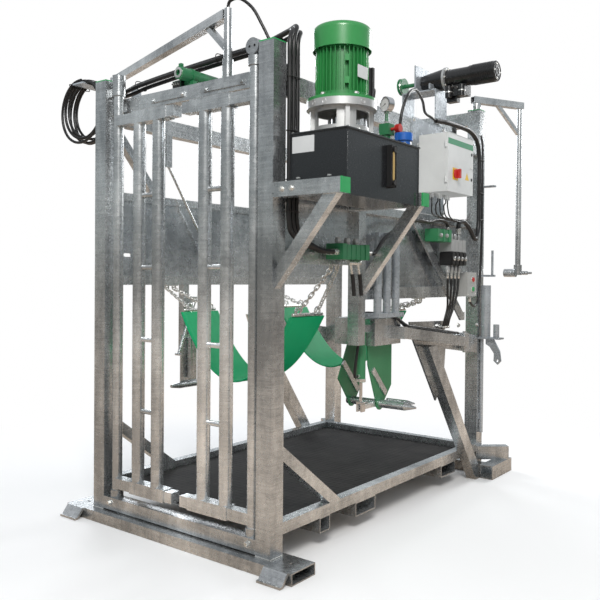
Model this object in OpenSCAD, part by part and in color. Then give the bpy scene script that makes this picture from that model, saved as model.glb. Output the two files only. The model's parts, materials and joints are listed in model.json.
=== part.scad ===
// Hoof trimming chute with hydraulic power pack, front gates, belly belts and leg lift.
// Millimetres. The origin is on the ground in the middle of the stall.
// +X is the side with the power pack, -Y is the front with the two gates, +Z is up.

/* [Stall frame] */
// Width over the outer faces of the posts
frame_w = 1152; // [1100:2:1300]
// Length over the outer faces of the posts
frame_l = 2058; // [2040:2:2200]
// Height of the front posts' tops
front_h = 2160; // [2150:5:2200]
// Height of the rear posts' tops
rear_h = 2245; // [2235:5:2300]
// Side of the square post tube
post_s = 80; // [76:1:84]
// Wall of the post and rail tubes
tube_t = 4; // [3:0.5:6]
// Side of the floor and belly rails
rail_s = 50; // [40:1:56]
// Height of the flattened front sill
sill_h = 50; // [40:1:56]
// Depth of the front sill
sill_d = 154; // [120:2:180]
// Reach of the front sill from the middle
sill_reach = 725; // [700:5:800]
// Radius of the anchor bolt hole in the sill
anchor_r = 9; // [6:0.5:14]
// Height of the threshold beam's underside
threshold_z = 57; // [56:1:70]
// Side of the threshold beam
threshold_s = 60; // [50:1:64]

/* [Floor] */
// Height of the floor rails' underside
floor_z = 137; // [130:1:150]
// Width of a fork pocket
pocket_w = 175; // [150:1:200]
// Height of a fork pocket
pocket_h = 67; // [60:1:70]
// Distance between the middles of the two fork pockets
pocket_gap = 880; // [800:5:900]
// Middle of the two pockets along the stall
pocket_mid = 125; // [100:5:150]
// Wall of a fork pocket
pocket_t = 5; // [4:0.5:8]
// Thickness of the floor plate
plate_t = 4; // [3:0.5:6]
// Thickness of the rubber mat
mat_t = 14; // [8:1:25]

/* [Gates] */
// Distance of a gate's pivot from the middle
gate_x = 445; // [440:1:452]
// Radius of the pivot tube
pivot_r = 25; // [20:0.5:28]
// Distance of the inner upright from the middle
upright_in = 152; // [130:1:170]
// Distance between the two uprights of a gate
upright_gap = 136; // [110:1:150]
// Radius of an upright tube
upright_r = 30; // [24:0.5:32]
// Height of the gate's lower arm, middle
arm_low_z = 186; // [180:1:200]
// Height of the gate's upper arm, middle
arm_top_z = 1956; // [1900:1:1960]
// Side of the gate's inner arm tube
arm_s = 50; // [44:1:52]
// Wall of the sliding sleeve
sleeve_t = 4; // [3:0.5:5]
// Clearance all round between the arm and its sleeve
sleeve_gap = 0.3; // [0.2:0.1:1.5]
// Number of rungs between the uprights
rungs = 4; // [2:1:6]
// Radius of a rung
rung_r = 12; // [8:1:16]

/* [Crossbeam and boom] */
// Height of the top crossbeam's underside
beam_z = 2010; // [2000:1:2020]
// Height of the crossbeam
beam_h = 67; // [60:1:70]
// Depth of the crossbeam
beam_d = 64; // [50:1:70]
// Place of the boom mast from the middle
mast_x = 220; // [150:5:260]
// Radius of the boom mast
mast_r = 19; // [15:0.5:22]
// Height of the boom arm's middle
boom_z = 2365; // [2330:5:2450]
// Length of the boom arm
boom_l = 1400; // [900:10:1600]
// Angle of the boom from -X towards +Y
boom_turn = 17.5; // [0:0.5:40]
// Side of the boom arm tube
boom_s = 40; // [30:1:45]

/* [Power pack] */
// Reach of the tank brackets from the middle
bracket_reach = 905; // [890:1:950]
// Side of a tank bracket tube
bracket_s = 60; // [50:1:60]
// Height of the brackets' underside
bracket_z = 1522; // [1500:1:1540]
// Inner side of the oil tank from the middle
tank_x0 = 618; // [616:1:630]
// Outer side of the oil tank from the middle
tank_x1 = 890; // [880:1:900]
// Height of the oil tank
tank_h = 254; // [200:1:300]
// Wall of the oil tank
tank_t = 4; // [3:0.5:6]
// Thickness of the tank lid
lid_t = 6; // [4:0.5:10]
// Place of the motor across the tank
motor_x = 740; // [735:1:745]
// Place of the motor along the tank
motor_y = -785; // [-790:1:-775]
// Radius of the bell housing and of the motor flange
bell_r = 115; // [112:1:118]
// Radius of the motor flange
flange_r = 146; // [142:1:150]
// Height of the bell housing
bell_h = 107; // [90:1:120]
// Radius of the motor body without its fins
stator_r = 92; // [88:1:96]
// Radius over the fins
fin_r = 110; // [104:1:113]
// Number of cooling fins
fins = 36; // [24:2:44]
// Height of the motor body over the flange
stator_h = 235; // [200:1:260]
// Radius of the fan cowl
cowl_r = 122; // [118:1:126]
// Height of the fan cowl
cowl_h = 100; // [80:1:120]

/* [Cabinet and controls] */
// Depth of the cabinet shell
cab_d = 150; // [120:1:160]
// Width of the cabinet
cab_w = 300; // [260:1:320]
// Height of the cabinet
cab_h = 300; // [250:1:340]
// Wall of the cabinet
cab_t = 2.5; // [1.5:0.5:4]
// Height of the cabinet's underside
cab_z = 1650; // [1640:1:1700]
// Radius of a push button
button_r = 14; // [10:0.5:16]

/* [Leg lift] */
// Place of the lift arm's pivot along the stall
swing_y = 700; // [680:1:720]
// Side of the lift arm tube
lift_s = 55; // [45:1:56]
// Fall of the lift arm towards its pivot, in degrees
lift_fall = 7.2; // [4:0.1:9]
// Radius of the green lift cylinder
ram_r = 22; // [18:0.5:23]
// Radius of the chrome rod
rod_r = 8; // [6:0.5:11]
// Radius of the hoof rest tube
rest_r = 20; // [16:0.5:24]
// Height of the hoof rest's middle
rest_z = 565; // [555:1:580]
// Place of the hoof rest along the stall
rest_y = -110; // [-120:1:-100]

/* [Belly belts] */
// Width of a belly belt
belt_w = 270; // [200:5:300]
// Thickness of a belly belt
belt_t = 8; // [4:0.5:12]
// Height of the belts' ends
belt_top = 1015; // [980:5:1040]
// Sag of the belts
belt_sag = 325; // [250:5:360]

/* [Winch and gallows] */
// Height of the winch's middle
winch_z = 2360; // [2350:5:2380]
// Place of the winch along the stall
winch_y = 600; // [560:5:640]
// Radius of the winch motor
winch_r = 54; // [46:1:56]
// Radius of the rope pulley
pulley_r = 50; // [40:1:60]
// Length of the gallows arm
gallows_l = 338; // [300:2:400]
// Radius of the gallows drop tube
drop_r = 17; // [14:0.5:20]
// Height of the drop tube's lower end
drop_z = 1290; // [1200:5:1400]

/* [Hoses] */
// Diameter of the large hoses
hose_d = 20; // [14:1:22]
// Diameter of the coiled hose
coil_d = 14; // [10:0.5:14.5]
// Radius of the hose coil
coil_r = 150; // [140:1:160]
// Number of loops in the coil
coil_loops = 6; // [3:1:6]
// Step of the coil from loop to loop
coil_step = 17; // [16:0.5:18]

/* [Hidden] */
$fn = 48;
fit = 0.06;
soft_gap = 0.3;
x_out = frame_w / 2;
x_in = x_out - post_s;
y_out = frame_l / 2;
y_in = y_out - post_s;
rail_x0 = x_out - rail_s;
floor_top = floor_z + rail_s;
mat_top = floor_z + plate_t + mat_t;
sill_mid_y = -(y_out - 29);
anchor_x = 661;
threshold_y1 = -(y_out - threshold_s);
threshold_top = threshold_z + threshold_s;
rear_sill_h = 60;
skid_s = 80;
skid_x0 = 640;
skid_y0 = 863;
skid_y1 = 1159;
top_rail_z0 = 1960;
top_rail_z1 = 2040;
top_rail_w = 60;
mid_y0 = -395;
mid_y1 = mid_y0 + bracket_s;
mid_z0 = 880;
panel_t = 6;
panel_x = rail_x0 + 8;
right_rail_z = 1097;
front_rail_z = 1260;
left_rail_z = 1156;
panel_top = 1510;
left_panel_top = 1585;
panel_edge = 40;

gate_y = -(y_out - 40);
cup_h = 34;
cup_r = pivot_r + 7;
upright_out = upright_in + upright_gap;
sleeve_in = arm_s / 2 + sleeve_gap;
sleeve_out = sleeve_in + sleeve_t;
sleeve_x0 = upright_in - 73;
sleeve_x1 = upright_out + upright_r;
arm_tip = 27;
pivot_top = 2110;

beam_y0 = -y_in;
beam_y1 = beam_y0 + beam_d;
beam_top = beam_z + beam_h;
mast_y = beam_y0 + 29;
mast_base = beam_top + 3;
socket_h = 84;

bracket1_y0 = -y_out;
bracket1_y1 = bracket1_y0 + bracket_s;
bracket_top = bracket_z + bracket_s;
tank_y0 = bracket1_y1 + 4;
tank_y1 = mid_y0 - 4;
tank_z0 = bracket_z;
tank_z1 = tank_z0 + tank_h;
lid_top = tank_z1 + lid_t;
flange_t = 30;
flange_z = lid_top + bell_h;
stator_z = flange_z + flange_t;
stator_top = stator_z + stator_h;
cowl_z = stator_top - 22;
cowl_top = cowl_z + cowl_h;
shaft_r = 19;

plate_x1 = x_out + 6;
cab_x0 = x_out + 34;
cab_x1 = cab_x0 + cab_d;
cab_y0 = 120;
cab_y1 = cab_y0 + cab_w;
door_gap = 0.3;
door_t = 16;
door_x = cab_x1 + door_gap;
switch_y = cab_y0 + 85;
switch_z = cab_z + 95;

box_x0 = x_out + 1;
box_x1 = x_out + 74;
box_y0 = 640;
box_y1 = 760;
box_z0 = 1100;
box_z1 = 1240;
button_x = box_x1 + 5;
button_y = 706;

swing_x = x_out + 31;
head_x0 = x_out - 236;
head_x1 = x_out + 2;
head_y0 = -250;
head_y1 = 0;
head_z0 = 868;
head_z1 = 1000;
lift_front_z = 927;
cheek_t = 6;
cheek_near = x_out - 56;
cheek_far = x_out - 226;
ram_x = x_out - 60;
ram_y = head_y0 - ram_r - 2;
ram_z0 = 691;
ram_z1 = 935;
crank_l = rest_y - ram_y;
crank_t = 10;
pin_r = 5;

belt_x0 = -320;
belt_x1 = 400;
belt_mid = (belt_x0 + belt_x1) / 2;
belt_half = (belt_x1 - belt_x0) / 2;
belt1_y = -690;
belt2_y = 110;

winch_beam_z = top_rail_z1;
gallows_z = 2315;
gallows_x = x_out - post_s / 2;
gallows_y = y_out - post_s / 2;
gallows_turn = 61.6;
tip_x = gallows_x + gallows_l * cos(gallows_turn);
tip_y = gallows_y + gallows_l * sin(gallows_turn);

coil_x = -748;
coil_z = 2055;
coil_y0 = -1000;
saddle_w = 84;
saddle_top = coil_z + sqrt(pow(coil_r - coil_d / 2 - 0.2, 2) - pow(saddle_w / 2, 2)) - soft_gap;

galv = "silver";
green = "#1f8a3c";
black = "#1c1f22";

// A plain block between two corners
module block(lo, hi) {
    translate(lo) cube(hi - lo);
}

// A rectangular tube between two corners, open along one axis: 0 is X, 1 is Y, 2 is Z
module box_tube(lo, hi, along, wall = tube_t) {
    inset = [for (i = [0:2]) i == along ? -1 : wall];
    difference() {
        block(lo, hi);
        block(lo + inset, hi - inset);
    }
}

module both_sides() {
    children();
    mirror([1, 0, 0]) children();
}

// Places a shape that runs along +X so that it runs from p towards q
module aim(p, q) {
    d = q - p;
    translate(p) rotate([0, -asin(d[2] / norm(d)), atan2(d[1], d[0])]) children();
}

// A rectangular tube from p to q, w wide sideways and h high
module strut(p, q, w, h, wall = tube_t) {
    l = norm(q - p);
    aim(p, q) box_tube([0, -w / 2, -h / 2], [l, w / 2, h / 2], 0, wall);
}

module solid_strut(p, q, w, h) {
    l = norm(q - p);
    aim(p, q) block([0, -w / 2, -h / 2], [l, w / 2, h / 2]);
}

module rod(p, q, r) {
    aim(p, q) rotate([0, 90, 0]) cylinder(r = r, h = norm(q - p));
}

module pipe(h, r, wall) {
    difference() {
        cylinder(r = r, h = h);
        translate([0, 0, -1]) cylinder(r = r - wall, h = h + 2);
    }
}

module ring(h, r, bore) {
    difference() {
        cylinder(r = r, h = h);
        translate([0, 0, -1]) cylinder(r = bore, h = h + 2);
    }
}

// A hexagon screw head with its washer, standing on z = 0
module bolt_head(s = 10) {
    cylinder(r = s * 1.15, h = s * 0.2);
    cylinder(r = s * 0.9, h = s * 0.9, $fn = 6);
}

// Hose routes: a smooth curve through points chosen by hand, swept as one tube
function unit(v) = v / norm(v);
function curve(a, b, c, d, t) =
    0.5 * (2 * b + (c - a) * t + (2 * a - 5 * b + 4 * c - d) * t * t + (3 * b - a - 3 * c + d) * t * t * t);
function smooth(p, n = 3) = concat(
    [for (i = [0:len(p) - 2]) for (k = [0:n - 1])
        curve(p[max(i - 1, 0)], p[i], p[i + 1], p[min(i + 2, len(p) - 1)], k / n)],
    [p[len(p) - 1]]);
function heading(p) = [for (i = [0:len(p) - 1]) unit(p[min(i + 1, len(p) - 1)] - p[max(i - 1, 0)])];
function side_of(t) = unit(cross(t, abs(t[2]) < 0.9 ? [0, 0, 1] : [1, 0, 0]));
function carry(t, i = 0, n = [0, 0, 0]) = i == len(t) ? [] :
    let (m = i == 0 ? side_of(t[0]) : unit(n - (n * t[i]) * t[i])) concat([m], carry(t, i + 1, m));

module sweep(p, r, sides) {
    t = heading(p);
    m = carry(t);
    last = (len(p) - 1) * sides;
    points = [for (i = [0:len(p) - 1]) for (j = [0:sides - 1])
        let (a = 360 * j / sides) p[i] + r * (cos(a) * m[i] + sin(a) * cross(t[i], m[i]))];
    walls = [for (i = [0:len(p) - 2]) for (j = [0:sides - 1])
        let (k = (j + 1) % sides, b = i * sides)
        each [[b + j, b + sides + k, b + k], [b + j, b + sides + j, b + sides + k]]];
    ends = [for (j = [1:sides - 2])
        each [[0, j, j + 1], [last, last + j + 1, last + j]]];
    polyhedron(points, concat(walls, ends));
}

// The route with one more point near each end, so that both ends leave straight
function straight_ends(p) = let (n = len(p) - 1) concat([p[0], p[0] + 0.35 * (p[1] - p[0])],
    [for (i = [1:n - 1]) p[i]], [p[n] + 0.35 * (p[n - 1] - p[n]), p[n]]);

module hose(p, d = hose_d, n = 2) {
    sweep(smooth(straight_ends(p), n), d / 2, 8);
}

// Front sill, flattened tube with an anchor hole near each end
module base_sill() {
    y0 = sill_mid_y - sill_d / 2;
    y1 = sill_mid_y + sill_d / 2;
    color(galv) difference() {
        box_tube([-sill_reach, y0, 0], [sill_reach, y1, sill_h], 0, 5);
        for (x = [-anchor_x, anchor_x])
            translate([x, sill_mid_y + 6, -1]) cylinder(r = anchor_r, h = sill_h + 2);
    }
}

// Folded plates in front of the sill's ends
module anchor_feet() {
    y1 = sill_mid_y - sill_d / 2;
    toe = 53;
    profile = [[y1 - toe, 0], [y1 - toe + 18, 0], [y1, sill_h - 9], [y1, sill_h], [y1 - 9, sill_h],
        [y1 - toe + 13, 9], [y1 - toe, 9]];
    color(galv) both_sides()
        translate([589, 0, 0]) rotate([90, 0, 90]) linear_extrude(121) polygon(profile);
}

module corner_posts() {
    color(galv) both_sides() {
        box_tube([x_in, -y_out, sill_h], [x_out, -y_in, front_h], 2);
        box_tube([x_in, y_in, rear_sill_h], [x_out, y_out, rear_h], 2);
    }
}

module crossbeams() {
    color(galv) {
        box_tube([-x_out, beam_y0, beam_z], [x_out, beam_y1, beam_top], 0);
        difference() {
            box_tube([-x_in, -y_out, threshold_z], [x_in, threshold_y1, threshold_top], 0);
            for (x = [-451, 451])
                translate([x, -y_out - 1, threshold_z + 35]) rotate([-90, 0, 0]) cylinder(r = 7, h = 6);
        }
        box_tube([-x_in, y_in, rear_h - 90], [x_in, y_out, rear_h - 10], 0);
        box_tube([-rail_x0, y_in - rail_s, floor_z], [rail_x0, y_in, floor_top], 0);
        box_tube([-skid_x0, y_in + 10, 0], [skid_x0, y_out - 10, rear_sill_h], 0);
        box_tube([-x_out, winch_y - 30, winch_beam_z], [x_out, winch_y + 30, winch_beam_z + 60], 0);
    }
}

// Ground tubes outside the rear posts, with a slanting stub on each
module rear_skids() {
    stub_l = 195;
    color(galv) both_sides() {
        box_tube([skid_x0, skid_y0, 0], [skid_x0 + skid_s, skid_y1, skid_s], 1);
        difference() {
            strut([x_out - 20, y_out - 30, skid_s + 40], [x_out - 20 + stub_l * cos(40), y_out - 30 + stub_l * sin(40), skid_s + 40], 60, 80);
            block([x_in - 60, y_in, 0], [x_out, y_out + 90, 200]);
        }
    }
}

module long_rails() {
    color(galv) {
        both_sides() {
            box_tube([rail_x0, -y_in, floor_z], [x_out, y_in, floor_top], 1);
            box_tube([x_out - top_rail_w, beam_y1, top_rail_z0], [x_out, y_in, top_rail_z1], 1);
        }
        box_tube([rail_x0, -y_in, front_rail_z], [x_out, mid_y0, front_rail_z + rail_s], 1);
        box_tube([rail_x0, -y_in, panel_top], [x_out, mid_y0, panel_top + panel_edge], 1);
        box_tube([rail_x0, mid_y1, right_rail_z], [x_out, y_in, right_rail_z + 60], 1);
        box_tube([rail_x0, mid_y1, panel_top], [x_out, y_in, panel_top + panel_edge], 1);
        mirror([1, 0, 0]) {
            box_tube([rail_x0, -y_in, left_rail_z], [x_out, y_in, left_rail_z + rail_s], 1);
            box_tube([rail_x0, -y_in, left_panel_top], [x_out, y_in, left_panel_top + panel_edge], 1);
        }
    }
}

module mid_post() {
    color(galv) box_tube([x_out - top_rail_w, mid_y0, mid_z0], [x_out, mid_y1, top_rail_z0], 2);
}

module fork_pockets() {
    color(galv) {
        for (s = [-1, 1]) {
            y = pocket_mid + s * pocket_gap / 2;
            box_tube([-x_out, y - pocket_w / 2, floor_z - pocket_h], [x_out, y + pocket_w / 2, floor_z], 0, pocket_t);
        }
        box_tube([-x_out, -688, floor_z - pocket_h], [x_out, -612, floor_z], 0);
    }
}

module floor_plate() {
    color(galv) block([-rail_x0, -y_in, floor_z], [rail_x0, y_in - rail_s, floor_z + plate_t]);
}

module floor_mat() {
    edge = 5;
    color(black) block([-rail_x0 + edge, -y_in + edge, floor_z + plate_t],
        [rail_x0 - edge, y_in - rail_s - edge, mat_top]);
}

module side_panels() {
    color("gainsboro") {
        block([panel_x, -y_in, front_rail_z + rail_s], [panel_x + panel_t, mid_y0, panel_top]);
        block([panel_x, mid_y1, right_rail_z + 60], [panel_x + panel_t, y_in, panel_top]);
        difference() {
            block([-panel_x - panel_t, -y_in, left_rail_z + rail_s], [-panel_x, y_in, left_panel_top]);
            for (y = [-15, 15])
                translate([-panel_x - panel_t - 1, -861 + y, 1309]) rotate([0, 90, 0]) cylinder(r = 9, h = panel_t + 2);
            block([-panel_x - panel_t - 1, -876, 1300], [-panel_x + 1, -846, 1318]);
        }
    }
}

module frame_braces() {
    color(galv) {
        both_sides() difference() {
            strut([x_out - rail_s / 2, -y_in - 40, 500], [x_out - rail_s / 2, -520, 150], rail_s, rail_s);
            block([rail_x0 - 2, -y_out - 60, 100], [x_out + 2, -y_in, 700]);
            block([rail_x0 - 2, -y_in - 1, 0], [x_out + 2, 0, floor_top]);
        }
        mirror([1, 0, 0]) {
            difference() {
                strut([x_out - 25, -y_in - 10, 1975], [x_out - 25, -640, 1600], 40, 40);
                block([x_in, -y_out, 1900], [x_out + 5, -y_in, 2100]);
                block([x_in, -y_out, top_rail_z0], [x_out + 5, 0, top_rail_z1 + 40]);
                block([x_in, -y_out, 1400], [x_out + 5, 0, left_panel_top + panel_edge]);
            }
            rod([x_out - 80, -620, 1790], [x_out - 80, -330, 1360], 7);
            block([x_out - 88, -640, 1785], [x_out - 74, -600, top_rail_z0]);
            block([x_out - 88, -345, 1340], [panel_x, -315, 1364]);
        }
        translate([x_out, 0, 0]) rotate([90, 0, 90]) linear_extrude(10)
            polygon([[91, 1513], [125, 1550.7], [719, 1005], [742, 1005], [742, 958], [688, 958]]);
    }
}

// Slanting rear legs with the gusset plates that carry the lift arm
module diagonal_legs() {
    top = [x_out + 31, 175, 930];
    foot = [x_out + 31, 875, -20];
    plate = [[95, 972], [505, 962], [505, 910], [y_in, 854], [y_in, 746], [512, 802], [493, 637], [400, 520], [140, 870]];
    color(galv) both_sides() {
        difference() {
            strut([top[0], top[1], top[2]], foot, 60, 76);
            block([500, 0, 838], [700, 400, 1100]);
            block([500, 600, -100], [700, 1000, 0]);
        }
        translate([x_out - 8, 0, 0]) rotate([90, 0, 90]) linear_extrude(10) polygon(plate);
    }
}

module tank_brackets() {
    color(galv) {
        for (y = [bracket1_y0, mid_y0])
            box_tube([x_out, y, bracket_z], [bracket_reach, y + bracket_s, bracket_top], 0);
        for (p = [[bracket1_y0 + 35, 850, 1197], [mid_y0 + 30, 860, 1150]])
            difference() {
                strut([x_out - 40, p[0], p[2] - 53], [p[1] + 30, p[0], bracket_z + 40], 40, 50);
                block([400, p[0] - 40, 900], [x_out, p[0] + 40, 1700]);
                block([x_out, p[0] - 40, bracket_z], [1000, p[0] + 40, 1700]);
            }
    }
}

module green_end_caps() {
    color(green) {
        both_sides() {
            block([x_in, -y_out, front_h], [x_out, -y_in, front_h + 5]);
            block([x_in, y_in, rear_h], [x_out, y_out, rear_h + 5]);
        }
        for (y = [bracket1_y0, mid_y0])
            block([bracket_reach, y, bracket_z], [bracket_reach + 6, y + bracket_s, bracket_top]);
    }
}

// Fixed halves of the pivots: gate cups and rings, boom socket, gallows socket, lift arm pin
module pivot_bearings() {
    color(galv) {
        both_sides() {
            translate([gate_x, gate_y, threshold_top]) ring(cup_h, cup_r, pivot_r + fit);
            difference() {
                union() {
                    translate([gate_x, gate_y, pivot_top - 30]) cylinder(r = cup_r, h = 40);
                    block([gate_x, gate_y - 16, pivot_top - 30], [x_in, gate_y + 16, pivot_top + 10]);
                }
                translate([gate_x, gate_y, pivot_top - 31]) cylinder(r = pivot_r + fit, h = 31 + 0.5);
            }
        }
        difference() {
            translate([gate_x + 4, gate_y - 30, pivot_top + 45]) rotate([-90, 0, 0]) cylinder(r = 35, h = 50);
            for (x = [-14, 14])
                translate([gate_x + 4 + x, gate_y - 31, pivot_top + 45]) rotate([-90, 0, 0]) cylinder(r = 6, h = 60);
        }
        translate([-gate_x, gate_y, pivot_top + 10]) cylinder(r = cup_r, h = 60);
        translate([mast_x, mast_y, beam_top]) difference() {
            cylinder(r = mast_r + 6, h = socket_h);
            translate([0, 0, mast_base - beam_top]) cylinder(r = mast_r + fit, h = socket_h);
        }
        translate([gallows_x, gallows_y, rear_h + 5]) difference() {
            cylinder(r = 27, h = 42);
            translate([0, 0, 3]) cylinder(r = 19 + fit, h = 50);
        }
        lift_pivot();
    }
}

module lift_pivot() {
    z = lift_z(swing_y);
    for (dz = [-52, 38])
        difference() {
            union() {
                translate([swing_x, swing_y, z + dz]) cylinder(r = 24, h = 14);
                block([x_out + 2, swing_y - 24, z + dz], [swing_x, swing_y + 24, z + dz + 14]);
            }
            translate([swing_x, swing_y, z - 80]) cylinder(r = 12, h = 200);
        }
    translate([swing_x, swing_y, z - 62]) cylinder(r = 12, h = 124);
}

// Height of the lift arm's middle at a place along the stall
function lift_z(y) = lift_front_z - (y + 53) * tan(lift_fall);

// Plates for the cabinet and the winch, hose saddle, slide column and rear bracket
module mounting_plates() {
    column_x = x_out + 24;
    column_r = 20;
    color(galv) {
        block([x_out, 100, 1551], [plate_x1, 460, 2050]);
        difference() {
            block([269, winch_y - 70, winch_beam_z + 60], [491, winch_y + 70, 2300]);
            block([275, winch_y - 71, winch_beam_z + 66], [485, winch_y + 71, 2294]);
        }
        for (x = [366, 460])
            difference() {
                block([x - 5, winch_y - 90, 2300], [x + 5, winch_y + 90, x < 400 ? 2448 : 2330]);
                translate([x - 6, winch_y, winch_z]) rotate([0, 90, 0]) cylinder(r = x < 400 ? 13 : 58, h = 12);
            }
        for (i = [0:2])
            translate([column_x, -262 + 85 * i, 1030]) pipe(366, column_r, 3);
        block([x_out - 90, -290, 1008], [column_x + 26, -50, 1030]);
        difference() {
            block([x_out, -290, 1396], [column_x + 24, -50, 1420]);
            for (y = [-220, -120])
                translate([column_x, y, 1390]) cylinder(r = 8, h = 40);
        }
        block([x_out, -270, right_rail_z + 10], [column_x - column_r, -255, right_rail_z + 50]);
        block([coil_x - saddle_w / 2, coil_y0 - 12, saddle_top - 8], [coil_x + saddle_w / 2, -780, saddle_top]);
        block([coil_x, -800, saddle_top - 20], [-x_out, -780, saddle_top - 8]);
        block([-x_out - 6, -800, 1965], [-x_out, -740, saddle_top - 8]);
        block([x_out, y_in + 8, 1765], [x_out + 8, y_in + 40, 1956]);
        block([x_out + 8, y_in + 8, 1765], [x_out + 95, y_in + 40, 1775]);
        rear_latch();
    }
}

// Vertical tubes, plate, hook and rod on the outer side of the right rear post
module rear_latch() {
    block([x_out, y_in + 5, 833], [x_out + 140, y_out - 5, 843]);
    translate([x_out + 35, y_in + 40, 843]) pipe(320, 30, 4);
    translate([x_out + 105, y_in + 40, 843]) pipe(80, 18, 3);
    translate([x_out + 12, y_in + 40, 250]) cylinder(r = 11, h = 583);
    for (z = [330, 700])
        block([x_out, y_in + 26, z], [x_out + 2, y_in + 54, z + 40]);
    difference() {
        translate([0, y_in + 32, 0]) rotate([90, 0, 0]) mirror([0, 0, 1]) linear_extrude(14)
            polygon([[x_out + 40, 833], [x_out + 90, 833], [x_out + 130, 760], [x_out + 138, 700], [x_out + 118, 678],
                [x_out + 92, 700], [x_out + 94, 745], [x_out + 66, 785], [x_out + 40, 800]]);
        translate([x_out + 116, y_in + 31, 702]) rotate([-90, 0, 0]) cylinder(r = 8, h = 16);
    }
    translate([x_out + 75, y_in + 40, 1228]) cylinder(r = 7, h = 150);
    block([x_out, y_in + 30, 1216], [x_out + 92, y_in + 50, 1228]);
}

// Swinging arm of a gate: pivot tube with the two inner arm tubes, for the +X side
module gate_arm() {
    color(galv) {
        difference() {
            union() {
                translate([gate_x, gate_y, threshold_top + soft_gap]) cylinder(r = pivot_r, h = pivot_top - threshold_top - soft_gap);
                for (z = [arm_low_z, arm_top_z])
                    block([arm_tip, gate_y - arm_s / 2, z - arm_s / 2], [gate_x, gate_y + arm_s / 2, z + arm_s / 2]);
            }
            translate([gate_x, gate_y, threshold_top - 1]) cylinder(r = pivot_r - 4, h = pivot_top);
        }
    }
}

// Sliding gate frame: two sleeves, two uprights and the rungs, for the +X side
module gate_sleeve() {
    low = arm_low_z + sleeve_out;
    high = arm_top_z - sleeve_out;
    step = (high - low) / (rungs + 1);
    color(galv) {
        for (z = [arm_low_z, arm_top_z])
            box_tube([sleeve_x0, gate_y - sleeve_out, z - sleeve_out], [sleeve_x1, gate_y + sleeve_out, z + sleeve_out], 0, sleeve_t);
        for (x = [upright_in, upright_out])
            translate([x, gate_y, low]) pipe(high - low, upright_r, 4);
        for (i = [1:rungs])
            difference() {
                translate([upright_in + upright_r - 3, gate_y, low + i * step]) rotate([0, 90, 0])
                    cylinder(r = rung_r, h = upright_gap - 2 * upright_r + 6);
                for (x = [upright_in, upright_out])
                    translate([x, gate_y, low + i * step - 40]) cylinder(r = upright_r - 3.5, h = 80);
            }
    }
}

module left_gate_arm() {
    mirror([1, 0, 0]) gate_arm();
}

module right_gate_arm() {
    gate_arm();
}

module left_gate_sleeve() {
    mirror([1, 0, 0]) gate_sleeve();
}

module right_gate_sleeve() {
    gate_sleeve();
}

// Flat stop bars bolted to the front of the crossbeam
module gate_stop_bars() {
    color(galv)
        for (x = [[-250, -20], [100, 350]]) {
            block([x[0], beam_y0 - 8, beam_z + 18], [x[1], beam_y0, beam_z + 42]);
            for (k = [x[0] + 18, x[1] - 18])
                translate([k, beam_y0 - 8, beam_z + 30]) rotate([90, 0, 0]) bolt_head(9);
        }
}

// Green cylinder across the crossbeam with its bracket and black block
module gate_cylinder() {
    x = -25;
    z = beam_top + 53;
    color(green) {
        difference() {
            translate([x, beam_y0 - 36, z]) rotate([-90, 0, 0]) cylinder(r = 30, h = 240);
            translate([x, beam_y0 - 37, z]) rotate([-90, 0, 0]) cylinder(r = 14, h = 12);
        }
        translate([x, beam_y0 + 204, z]) rotate([-90, 0, 0]) cylinder(r1 = 22, r2 = 14, h = 14, $fn = 32);
        translate([x, beam_y0 + 30, z]) rotate([-90, 0, 0]) ring(16, 34, 30);
        block([x - 30, beam_y0 + 26, beam_top], [x + 30, beam_y0 + 50, z - 26]);
        block([x - 85, beam_y0 + 4, beam_top], [x - 30, beam_y0 + 44, beam_top + 33]);
        block([x - 8, beam_y0 - 30, z + 28], [x + 8, beam_y0 - 14, z + 44]);
    }
}

// Mast, arm and brace of the swivel boom
module swivel_boom() {
    arm = boom_turn;
    color(galv) translate([mast_x, mast_y, 0]) {
        translate([0, 0, mast_base + soft_gap]) cylinder(r = mast_r, h = boom_z + boom_s / 2 - mast_base);
        rotate([0, 0, 180 - arm]) {
            box_tube([mast_r - 4, -boom_s / 2, boom_z - boom_s / 2], [boom_l, boom_s / 2, boom_z + boom_s / 2], 0, 3);
            block([boom_l, -boom_s / 2, boom_z - boom_s / 2], [boom_l + 3, boom_s / 2, boom_z + boom_s / 2]);
            difference() {
                solid_strut([0, 0, boom_z - 160], [190, 0, boom_z - 8], 25, 25);
                block([-60, -30, boom_z - boom_s / 2], [400, 30, boom_z + 60]);
                translate([0, 0, boom_z - 400]) cylinder(r = mast_r - 1, h = 500);
            }
        }
    }
}

// Rear gallows: pivot pin, level arm, brace and drop tube
module gallows_arm() {
    s = 40;
    color(galv) {
        translate([gallows_x, gallows_y, rear_h + 8.3]) cylinder(r = 19, h = gallows_z - rear_h - 20);
        translate([gallows_x, gallows_y, 0]) rotate([0, 0, gallows_turn]) {
            box_tube([-30, -s / 2, gallows_z - s / 2], [gallows_l + s / 2, s / 2, gallows_z + s / 2], 0, 3);
            difference() {
                solid_strut([gallows_l - 180, 0, gallows_z - 10], [gallows_l, 0, gallows_z - 190], 22, 22);
                block([0, -30, gallows_z - s / 2], [gallows_l + 60, 30, gallows_z + 60]);
                translate([gallows_l, 0, gallows_z - 400]) cylinder(r = drop_r - 1, h = 500);
            }
            translate([gallows_l, 0, drop_z - 45]) cylinder(r = drop_r, h = gallows_z - s / 2 - drop_z + 45);
        }
    }
}

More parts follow.
